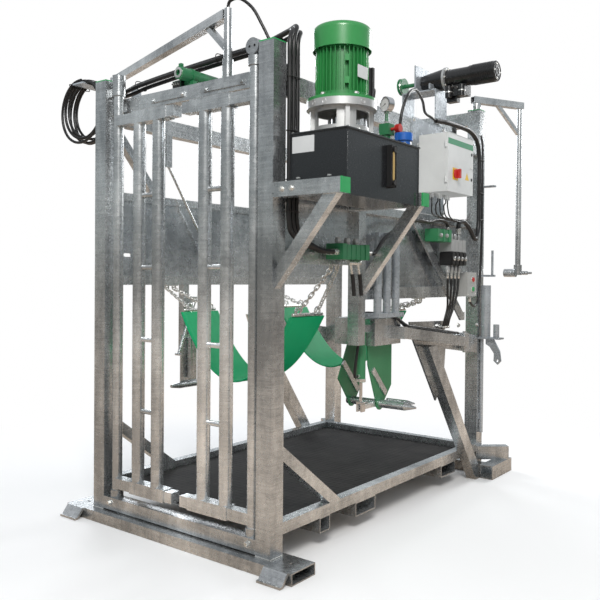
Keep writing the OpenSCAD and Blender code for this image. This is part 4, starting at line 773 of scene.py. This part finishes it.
# Circles of hexagon heads: name, place, count, circle's radius, head's radius and height
BOLT_CIRCLES = (
    ("motor_flange_bolts", at((MOTOR_X, MOTOR_Y, 1.931), spin=30), 6, 0.133, 0.0095, 0.011),
    ("bell_foot_bolts", at((MOTOR_X, MOTOR_Y, 1.794), spin=22.5), 8, 0.1245, 0.0068, 0.008),
    ("winch_flange_bolts", at((0.536, WINCH_Y, WINCH_Z), "x"), 8, 0.0595, 0.0055, 0.007),
)


def make_bolts():
    for name, start, out, step, count, r, h in BOLT_ROWS:
        head = hex_bolt(r, h)
        one = Builder().add(head.v, head.f, Vector(out).to_track_quat("Z", "Y").to_matrix().to_4x4())
        repeat(name, one, bright_zinc, count, Matrix.Translation(start), step=step)
    for name, place, count, radius, r, h in BOLT_CIRCLES:
        repeat(name, hex_bolt(r, h), bright_zinc, count, place, radius=radius)


def link_shape(length, width, wire_r):
    """One chain link: a round wire along a ring with straight sides."""
    half = length / 2 - width / 2
    n, sides = 16, 7
    pts = []
    for k in range(n):
        a = 2 * pi * k / n
        end = half if sin(a) > 0 else -half
        pts.append(Vector((0, width / 2 * cos(a), width / 2 * sin(a) + end)))
    v, f = [], []
    m = Vector((1, 0, 0))
    for i in range(n):
        b = (pts[(i + 1) % n] - pts[i - 1]).normalized().cross(m)
        for k in range(sides):
            a = 2 * pi * k / sides
            v.append(pts[i] + wire_r * (cos(a) * m + sin(a) * b))
    for i in range(n):
        for k in range(sides):
            a, b = i * sides + k, i * sides + (k + 1) % sides
            c, d = ((i + 1) % n) * sides + k, ((i + 1) % n) * sides + (k + 1) % sides
            f.append((a, b, d, c))
    return Builder().add(v, f)


def chain(name, p, q):
    p, q = Vector(p), Vector(q)
    count = max(2, round((q - p).length / LINK_PITCH))
    pitch = (q - p).length / count
    place = along(p + (q - p) * 0.5 / count, q)
    link = link_shape(0.034, 0.017, 0.003)
    done = copied(name, link, bright_zinc, LINKS, place, Count=count, Step=(0, 0, pitch))
    done.shade_smooth()
    add_to_scene(name, done, "frame")


def make_hangers():
    """Bars at the belts' ends with rings, chains up to the rails, and the rails' eyes."""
    bars = Builder()
    number = 0
    bar_z = 1.0272
    for y0 in (FRONT_BELT_Y, REAR_BELT_Y):
        middle = y0 + BELT_W / 2
        for x, rail, top in ((BELT_X0 + 0.002, -0.546, 1.156),
                             (BELT_X1 - 0.002, 0.546, 1.26 if y0 < 0 else 1.097)):
            spot = at((x, y0 + 0.02, bar_z), "y")
            bars.lathe([(0.006, 0), (0.008, 0.002), (0.008, 0.228), (0.006, 0.23)], spot, 20)
            for k, aside in ((0.06, -0.025), (BELT_W - 0.06, 0.025)):
                p = Vector((x, y0 + k, bar_z + 0.008))
                number += 1
                chain("belt_chain_%d" % number, p, Vector((rail, middle + aside, top - 0.02)))
                bars.tube(circle(p + Vector((0, 0, 0.006)), (0, 1, 0), (0, 0, 1), 0.02, 20), 0.0042, 8)
            bars.box((rail - 0.02, middle - 0.04, top - 0.006), (rail + 0.02, middle + 0.04, top))
            for aside in (-0.025, 0.025):
                eye = (rail, middle + aside, top - 0.014)
                bars.tube(circle(eye, (0, 1, 0), (0, 0, 1), 0.012, 16), 0.0038, 8)
    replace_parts(bars.piece("belt_bars_and_rings", bright_zinc, smooth=True), "belt_hangers")


def make_gauge():
    lean = radians(20)
    way = Vector((-sin(lean), -cos(lean), 0))
    face = Matrix.Translation((0.755, -0.462, 1.98)) @ way.to_track_quat("Z", "Y").to_matrix().to_4x4()
    profile = [(0.0322, -0.0262), (0.033, -0.0268), (0.0345, -0.004), (0.0345, 0.0045), (0.0325, 0.0055),
               (0.03, 0.0048), (0.0296, 0.001), (0.0322, 0.0006)]
    Builder().lathe(profile, face, 40, ring=True).piece("gauge_bezel", chrome_steel, smooth=True)
    dial = Builder().lathe([(0.03, 0.0008), (0.03, 0.002), (0, 0.002)], face, 40)
    dial.piece("gauge_dial", dial_white)
    marks = Builder()
    for k in range(28):
        spin = face @ Matrix.Rotation(radians(225 - k * 10), 4, "Z")
        marks.box((0.0225 if k % 3 == 0 else 0.025, -0.0005, 0.002), (0.0278, 0.0005, 0.0024), spin)
    needle = face @ Matrix.Rotation(radians(205), 4, "Z")
    marks.box((-0.006, -0.0007, 0.0026), (0.021, 0.0007, 0.0032), needle)
    marks.lathe([(0.003, 0.002), (0.003, 0.0036), (0, 0.0036)], face, 16)
    marks.piece("gauge_marks_and_needle", moulded_black)


def make_tank_details():
    box_piece("bare_tank_plate", (0.6235, -0.9662, 1.7), (0.734, -0.9645, 1.766), plate_white, bevel=0.0005)
    box_piece("level_glass", (0.9115, -0.657, 1.606), (0.9135, -0.643, 1.724), glass_amber, bevel=0.0006)
    guard = Builder()
    for y in (-0.671, -0.634):
        guard.box((0.89, y, 1.578), (0.9145, y + 0.005, 1.752))
    guard.piece("level_gauge_guard", moulded_black, bevel=0.001)
    weld = Builder()
    for x, y in ((0.618, -0.965), (0.89, -0.965), (0.89, -0.399), (0.618, -0.399)):
        weld.tube([Vector((x, y, 1.522 + 0.004 * k)) for k in range(64)], 0.0035, 8, rib=0.22)
    weld.piece("tank_corner_welds", tank_black, smooth=True)
    rib = Builder().box((-0.0022, -0.0012, 0.03), (0.0016, 0.0012, 0.062))
    repeat("filler_cap_ribs", rib, cap_blue, 36, at((0.84, -0.445, 1.778)), radius=0.038, body="cap",
           smooth=False)
    rib = Builder().box((-0.0014, -0.0016, 0.003), (0.0014, 0.0016, 0.02))
    repeat("relief_knob_ribs", rib, signal_red, 20, at((0.805, -0.45, 1.867), "x"), radius=0.018,
           body="knob", smooth=False)
    box_piece("bare_rating_plate", (0.85, -0.835, 2.005), (0.8535, -0.765, 2.055), plate_white, bevel=0.0004)


def make_cabinet_details():
    box_piece("bare_green_stripe", (DOOR_FACE, 0.122, 1.893), (0.777, 0.419, 1.923), stripe_green,
              body="door")
    box_piece("switch_plate", (DOOR_FACE, 0.174, 1.714), (0.778, 0.236, 1.776), signal_yellow, body="door",
              bevel=0.0008)
    spot = at((0.7766, 0.205, 1.745), "x")
    knob = Builder().lathe([(0.0069, -0.018), (0.0069, 0.0008), (0.024, 0.0018), (0.0255, 0.004),
                            (0.0245, 0.0125), (0.022, 0.014), (0, 0.014)], spot, 40)
    knob.box((-0.0235, -0.0065, 0.012), (0.0235, 0.0065, 0.032), spot)
    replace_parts(knob.piece("switch_handle", signal_red, body="switch", smooth=True), "main_switch")
    box_piece("cabinet_drip_edge", (0.759, 0.1195, 1.9485), (0.778, 0.4205, 1.9515), cabinet_grey,
              bevel=0.001)


def make_buttons():
    for name, body, z, finish, old in (
            ("red_push_button", "stop_button", 1.198, signal_red, "red_button"),
            ("green_push_button", "start_button", 1.142, button_green, "green_button")):
        cap = Builder().lathe([(0.0139, 0), (0.0139, 0.0225), (0.0125, 0.0255), (0.009, 0.0264), (0, 0.0266)],
                              at((0.634, BUTTON_Y, z), "x"), 36)
        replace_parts(cap.piece(name, finish, body=body, smooth=True), old)
        profile = [(0.0145, 0), (0.019, 0), (0.018, 0.0045), (0.0155, 0.0052), (0.0145, 0.004)]
        ring = Builder().lathe(profile, at((0.65, BUTTON_Y, z), "x"), 36, ring=True)
        ring.piece(name + "_ring", bright_zinc, slot="bright_steel", smooth=True)


def make_levers():
    levers = Builder().lathe([(0.0105, 0), (0.0115, 0.002), (0.0115, 0.098), (0.0105, 0.1)],
                             at((LEVER_X, -0.58, 1.268), "y"), 24)
    grips = Builder()
    for y in (-0.56, -0.5):
        pts = curve_points([(LEVER_X, y, 1.268), (LEVER_X, y + 0.006, 1.24), (LEVER_X, y + 0.02, 1.19),
                            (LEVER_X, y + 0.03, 1.12)])
        levers.tube(pts, 0.0062, 12)
        grips.tube(pts[9:], 0.0095, 14)
    rods = levers.piece("valve_lever_rods", bright_zinc, body="levers", slot="bright_steel", smooth=True)
    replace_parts(rods, "valve_levers")
    grips.piece("valve_lever_grips", moulded_black, body="levers", smooth=True)


def make_ferrules():
    """A crimped sleeve at each end of the thicker hoses, except where one goes on inside a bundle."""
    ferrules = Builder()
    for pts, r in hose_runs():
        for p, q in ((Vector(pts[0]), Vector(pts[1])), (Vector(pts[-1]), Vector(pts[-2]))):
            if r < 0.005 or p.z > 2.05 and p.x < 0.65:
                continue
            profile = [(1.05, 0.0), (1.35, 0.001), (1.35, 0.012), (1.18, 0.013), (1.22, 0.03), (1.05, 0.032)]
            ferrules.lathe([(r * wide, z) for wide, z in profile], along(p, p + (q - p).normalized()), 18)
    ferrules.piece("hose_ferrules", bright_zinc, smooth=True)


def tie(b, centre, across, tall, plane):
    """A narrow strap round a bundle: centre, half sizes and the two directions of its plane."""
    e, g = Vector(plane[0]), Vector(plane[1])
    pts = []
    for k in range(29):
        c, s = cos(2 * pi * k / 28), sin(2 * pi * k / 28)
        pts.append(Vector(centre) + e * across * (abs(c) ** 0.6) * (1 if c >= 0 else -1)
                   + g * tall * (abs(s) ** 0.6) * (1 if s >= 0 else -1))
    b.tube(pts, 0.0022, 6)


def make_ties():
    ties = Builder()
    for z in (2.02, 1.8, 1.6, 1.47):
        tie(ties, (0.597, -0.926, z), 0.0125, 0.0385, ((1, 0, 0), (0, 1, 0)))
    for x, z in ((-0.46, 2.165), (-0.15, 2.19), (0.1, 2.204), (0.35, 2.218)):
        tie(ties, (x, -0.838, z), 0.0375, 0.021, ((0, 1, 0), (0, 0, 1)))
    for z in (1.92, 1.72, 1.56):
        tie(ties, (0.613, 0.888, z), 0.0125, 0.03, ((1, 0, 0), (0, 1, 0)))
    for a in (radians(62), radians(118)):
        centre = (COIL_X + COIL_R * cos(a), -0.949, COIL_Z + COIL_R * sin(a))
        tie(ties, centre, 0.0115, 0.062, ((cos(a), 0, sin(a)), (0, 1, 0)))
    ties.piece("cable_ties", moulded_black)


def node_points(name):
    old = bpy.data.objects[name]
    return [old.matrix_world @ v.co for v in old.data.vertices]


def make_mat():
    """Moulded rubber mat with rounded studs, a plain margin and a worn middle."""
    pts = node_points("floor_mat")
    (x0, x1), (y0, y1), (z0, z1) = [(min(p[k] for p in pts), max(p[k] for p in pts)) for k in range(3)]
    nx, ny = 124, 250
    pitch, margin = 0.034, 0.03
    v, f, uv = [], [], []
    for i in range(nx + 1):
        x = x0 + (x1 - x0) * i / nx
        for j in range(ny + 1):
            y = y0 + (y1 - y0) * j / ny
            rim = min(x - x0, x1 - x, y - y0, y1 - y)
            stud = sin(x * pi / pitch) * sin(y * pi / pitch)
            wear = 1 - 0.55 * exp(-(x / 0.2) ** 2) * (0.6 + 0.4 * sin(y * 5.0 + sin(x * 9)))
            high = 0.0026 * max(0.0, abs(stud) - 0.25) * wear if rim > margin else 0.0
            v.append((x, y, z1 - 0.0018 + high - (0.002 if rim < 1e-6 else 0)))
            uv.append((x, y))
    w = ny + 1
    for i in range(nx):
        for j in range(ny):
            a = i * w + j
            f.append((a, a + w, a + w + 1, a + 1))
    k = len(v)
    rim = [i * w for i in range(nx + 1)] + [nx * w + j for j in range(1, ny + 1)]
    rim += [i * w + ny for i in range(nx - 1, -1, -1)] + list(range(ny - 1, 0, -1))
    for a in rim:
        v.append((v[a][0], v[a][1], z0))
        uv.append(uv[a])
    n = len(rim)
    for a in range(n):
        b = (a + 1) % n
        f.append((rim[a], k + a, k + b, rim[b]))
    f.append(tuple(k + a for a in reversed(range(n))))
    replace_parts(new_piece("studded_floor_mat", v, f, mat_black, smooth=True, uvs=uv), "floor_mat")


def fitting(b, place, axis, r, length, nut=0.5):
    """A turned fitting with its six-sided nut; a negative radius and length point it the other way."""
    m = at(place, axis)
    b.lathe([(r * 0.86, 0), (r * 0.86, length * 0.18), (r * 0.74, length * 0.2), (r * 0.74, length * 0.95),
             (r * 0.66, length)], m, 20)
    b.lathe([(r * 0.96, length * 0.24), (r, length * 0.28), (r, length * (0.24 + nut)),
             (r * 0.94, length * (0.28 + nut))], m, 6)


def make_valves():
    cast = Builder()
    for k in range(6):
        y = -0.69 + 0.0367 * k
        inset = 0.0 if k in (0, 5) else 0.003
        cast.box((0.5962 + inset, y + 0.0008, 1.2803), (0.6858 - inset, y + 0.0355, 1.3498 - inset))
    cast.box((0.601, -0.688, 1.286), (0.681, -0.472, 1.344))
    for y in (-0.6, -0.52):
        cast.box((0.576, y, 1.29), (0.6, y + 0.04, 1.33))
    for k in range(5):
        y, odd = 0.232 + 0.0335 * k, k % 2
        cast.box((0.5868, y, 1.4008 + 0.002 * odd), (0.6655 - 0.003 * odd, y + 0.0322, 1.4692 - 0.003 * odd))
    cast.box((0.592, 0.234, 1.405), (0.66, 0.399, 1.463))
    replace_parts(cast.piece("valve_castings", valve_green, bevel=0.0022), "valve_blocks")

    silver, coils, ends = Builder(), Builder(), Builder()
    for y in (-0.66, -0.59, -0.52):
        fitting(silver, (0.641, y, 1.3475), "z", 0.0165, 0.03)
    fitting(silver, (0.641, -0.472, 1.315), "y", 0.0155, 0.0465, 0.4)
    for i in range(4):
        fitting(silver, (0.63, 0.424 + 0.046 * i, 1.2352), "z", 0.0128, 0.042)
        fitting(silver, (0.626, 0.424 + 0.046 * i, 1.418), "z", 0.0118, 0.036)
    for y in (0.262, 0.33):
        fitting(silver, (0.664, y, 1.434), "x", 0.012, 0.014, 0.4)
    silver.box((0.576, 0.31, 1.411), (0.588, 0.58, 1.449))
    silver.box((0.576, 0.44, 1.291), (0.588, 0.58, 1.329))
    for k in range(4):
        y = 0.4025 + 0.0465 * k
        silver.box((0.59, y, 1.352), (0.662, y + 0.044, 1.4185))
        y = 0.4015 + 0.047 * k
        coils.box((0.588, y, 1.2765), (0.668, y + 0.044, 1.3495))
        coils.box((0.6, y + 0.01, 1.344), (0.65, y + 0.034, 1.3545))
        fitting(ends, (0.666, 0.4235 + 0.047 * k, 1.313), "x", 0.0125, 0.0118)
    silver.box((0.588, 0.402, 1.356), (0.656, 0.588, 1.414))
    coils.box((0.59, 0.404, 1.284), (0.66, 0.586, 1.342))
    silver.piece("valve_fittings_and_manifold", cast_aluminium, bevel=0.0012, smooth=True)
    coils.piece("valve_coils", moulded_black, bevel=0.0045)
    ends.piece("valve_coil_nuts", bright_zinc, smooth=True)


def make_gauge_stem():
    stem = Builder().lathe([(0.0086, 0), (0.0135, 0.001), (0.0135, 0.012), (0.0086, 0.014), (0.0086, 0.046),
                            (0.0128, 0.048), (0.0128, 0.062), (0.0086, 0.064)], at((0.755, -0.45, 1.892)), 6)
    stem.piece("gauge_stem", bright_zinc, slot="bright_steel", smooth=True)


def make_leg_cylinder_details():
    """Gland, ports and two hoses that go up the cylinder and lie on the lift arm to its pivot."""
    ram = Builder().lathe([(0.0222, 0), (0.0236, 0.001), (0.0236, 0.014), (0.0222, 0.0155)],
                          at((LEG_RAM_X, -0.274, 0.692)), 36, ring=True)
    for z in (0.721, 0.905):
        ram.lathe([(0.0082, 0.0), (0.0108, 0.001), (0.0108, 0.013), (0.0082, 0.014)],
                  at((LEG_RAM_X, -0.293, z), "y") @ Matrix.Rotation(pi, 4, "X"), 6, ring=True)
    ram.piece("leg_cylinder_gland_and_ports", bright_zinc, body="lift", smooth=True)
    near = [p for p in node_points("lift_arm") if p.x > 0.6]
    arm_back = max(p.z for p in near if p.y > 0.55)
    arm_front = max(p.z for p in near if -0.06 < p.y < -0.02)
    arm_length = 0.74
    starts = ([(LEG_RAM_X, -0.309, 0.721), (LEG_RAM_X, -0.326, 0.721), (0.52, -0.336, 0.745),
               (0.526, -0.33, 0.82), (0.53, -0.318, 0.9), (0.536, -0.305, 0.985), (0.545, -0.262, 1.024),
               (0.565, -0.18, 1.022), (0.59, -0.06, 0.998)],
              [(LEG_RAM_X, -0.309, 0.905), (LEG_RAM_X, -0.324, 0.905), (0.514, -0.332, 0.93),
               (0.513, -0.32, 0.985), (0.522, -0.275, 1.026), (0.546, -0.18, 1.024), (0.58, -0.06, 1.001)])
    tubes = []
    for k, start in enumerate(starts):
        run = list(start)
        for t in range(1, 11):
            y = -0.06 + 0.066 * t
            arm_top = arm_front + (arm_back - arm_front) * (y + 0.04) / arm_length
            run.append((0.597 + 0.016 * k, y, arm_top + 0.0085))
        tubes.append((curve_points(run), 0.0072, 12))
    hose_piece("leg_cylinder_hoses", tubes, "lift")


def make_gate_drive():
    block = Builder().box((-0.1106, -0.9456, 2.0765), (-0.0545, -0.9044, 2.1106))
    block.box((-0.104, -0.94, 2.108), (-0.061, -0.91, 2.114))
    block.piece("gate_valve_block", winch_black, slot="black_plastic", bevel=0.002)
    rings = Builder()
    for x in (-0.099, -0.083, -0.067):
        fitting(rings, (x, -0.9445, 2.094), "y", -0.0062, -0.013)
    rings.lathe([(0.0142, 0.0), (0.024, 0.0006), (0.024, 0.006), (0.0142, 0.0066)],
                at((GATE_RAM_X, -0.9912, GATE_RAM_Z), "y"), 32, ring=True)
    rings.lathe([(0.0145, 0.0), (0.0165, 0.0012), (0.0165, 0.012), (0.0145, 0.0132)],
                at((GATE_RAM_X, -0.736, GATE_RAM_Z), "y"), 32, ring=True)
    rings.piece("gate_cylinder_rings", bright_zinc, smooth=True)


def make_flange_ports():
    """Blind ports in the rim of the bell housing."""
    rings, plugs = Builder(), Builder()
    for degrees in (-106, -84, -20, 64, 86, 170):
        a = radians(degrees)
        way = Vector((cos(a), sin(a), 0))
        spot = Vector((MOTOR_X, MOTOR_Y, 1.904)) + way * 0.1452
        m = along(spot, spot + way)
        rings.lathe([(0.007, -0.002), (0.0108, -0.002), (0.0104, 0.0016), (0.009, 0.0022), (0.007, 0.0012)],
                    m, 24, ring=True)
        plugs.lathe([(0, -0.003), (0.0072, -0.003), (0.0072, 0.0004), (0, 0.0004)], m, 24)
    rings.piece("bell_port_rings", cast_aluminium, smooth=True)
    plugs.piece("bell_port_plugs", moulded_black, smooth=True)


def weld_line(b, p, q, r=0.003):
    """A run of overlapping weld drops from p to q."""
    p, q = Vector(p), Vector(q)
    n = max(4, int((q - p).length / 0.0035))
    b.tube([p.lerp(q, k / n) for k in range(n + 1)], r, 7, rib=0.26)


def make_welds():
    b = Builder()
    for s in (-1, 1):
        y0, y1 = (-0.969, -1.029) if s < 0 else (-1.029, -0.969)
        for z in (1.536, 1.583):
            weld_line(b, (0.5765, y0, z), (0.5765, y1, z))
        for y in (-1.029, -0.949):
            weld_line(b, (s * 0.496, y, 0.0515), (s * 0.576, y, 0.0515), 0.0035)
        weld_line(b, (s * 0.5763, -1.029, 0.0515), (s * 0.5763, -0.949, 0.0515), 0.0035)
    b.piece("weld_beads", bright_zinc, smooth=True)


def make_winch_details():
    ring = Builder().lathe([(0.064, 0.0), (0.0682, 0.001), (0.0682, 0.0155), (0.064, 0.0165)],
                           at((0.5198, WINCH_Y, WINCH_Z), "x"), 48)
    ring.piece("winch_silver_ring", cast_aluminium, smooth=True)
    axis = at((0.831, WINCH_Y, WINCH_Z), "x")
    cap = Builder().lathe([(0.0555, -0.016), (0.0572, -0.015), (0.0572, -0.002), (0.05, 0.0035),
                           (0.049, 0.0012), (0.03, 0.0012), (0.0285, 0.0042), (0.018, 0.0046),
                           (0.0165, 0.002), (0, 0.002)], axis, 48)
    for k in range(4):
        cap.box((0.029, -0.0035, 0.0005), (0.05, 0.0035, 0.0032),
                axis @ Matrix.Rotation(radians(45 + 90 * k), 4, "Z"))
    cap.piece("winch_motor_end", winch_black, smooth=True)
    screw = hex_bolt(0.0048, 0.0045)
    repeat("winch_end_screws", screw, bright_zinc, 4, axis @ at((0, 0, 0.001)), radius=0.0405)
    solenoids, bright = Builder(), Builder()
    for x in (0.556, 0.58, 0.604, 0.628):
        fitting(bright, (x, 0.565, 2.304 if x < 0.6 else 2.296), "y", -0.0075, -0.018)
    for x in (0.56, 0.64):
        solenoids.lathe([(0, -0.036), (0.018, -0.035), (0.02, -0.033), (0.02, 0.03), (0.0175, 0.033),
                         (0, 0.034)], at((x, WINCH_Y - 0.052 * 0.85, 2.274)))
        bright.lathe([(0.0204, 0), (0.0212, 0.0008), (0.0212, 0.0062), (0.0204, 0.007)],
                     at((x, 0.5558, 2.268)), ring=True)
    solenoids.piece("winch_solenoids", winch_black, smooth=True)
    bright.piece("winch_terminals", bright_zinc, smooth=True)


def make_door_locks():
    locks = Builder()
    for z in (1.735, 1.87):
        spot = at((DOOR_FACE, 0.402, z), "x")
        locks.lathe([(0.0085, 0), (0.0085, 0.0014), (0.007, 0.0024), (0, 0.0024)], spot, 24)
        locks.box((-0.0055, -0.001, 0.0016), (0.0055, 0.001, 0.0032), spot)
    locks.piece("cabinet_door_locks", moulded_black, body="door")
    spot = at((DOOR_FACE, 0.345, 1.74), "x", 180)
    sign = Builder().lathe([(0.026, 0), (0.026, 0.001), (0, 0.001)], spot, 3)
    sign.piece("bare_warning_plate", signal_yellow, body="door")


def make_winch_rope():
    fin = Builder()
    fin.lathe([(0.056, 0), (0.0585, 0.0006), (0.0585, 0.0034), (0.056, 0.004)], at((0, 0, 0), "x"), 40)
    repeat("winch_cooling_rings", fin, winch_black, 12, at((0.695, WINCH_Y, WINCH_Z)), step=(0.0105, 0, 0))
    rope, turns, per, drum_r = Builder(), 3, 40, 0.0375
    for k in range(turns):
        pts = []
        for j in range(per + 1):
            a = 2 * pi * j / per
            pts.append((0.2328 + 0.004 * (k - 1) + 0.0012 * j / per, WINCH_Y + drum_r * cos(a),
                        WINCH_Z + drum_r * sin(a)))
        rope.tube(pts, 0.0026, 8)
    rope.piece("winch_rope", bright_zinc, body="pulley", slot="green_paint", smooth=True)


dress_nodes()
set_camera()
set_studio()
make_belt("front_belly_belt", FRONT_BELT_Y, "front_belt")
make_belt("rear_belly_belt", REAR_BELT_Y, "rear_belt")
for make in (make_hoses, make_coil, make_bolts, make_hangers):
    make()
for make in (make_gauge, make_tank_details, make_cabinet_details, make_buttons, make_levers, make_ferrules,
             make_ties, make_mat, make_valves, make_gauge_stem, make_leg_cylinder_details, make_gate_drive,
             make_flange_ports, make_welds, make_winch_details, make_door_locks, make_winch_rope):
    make()
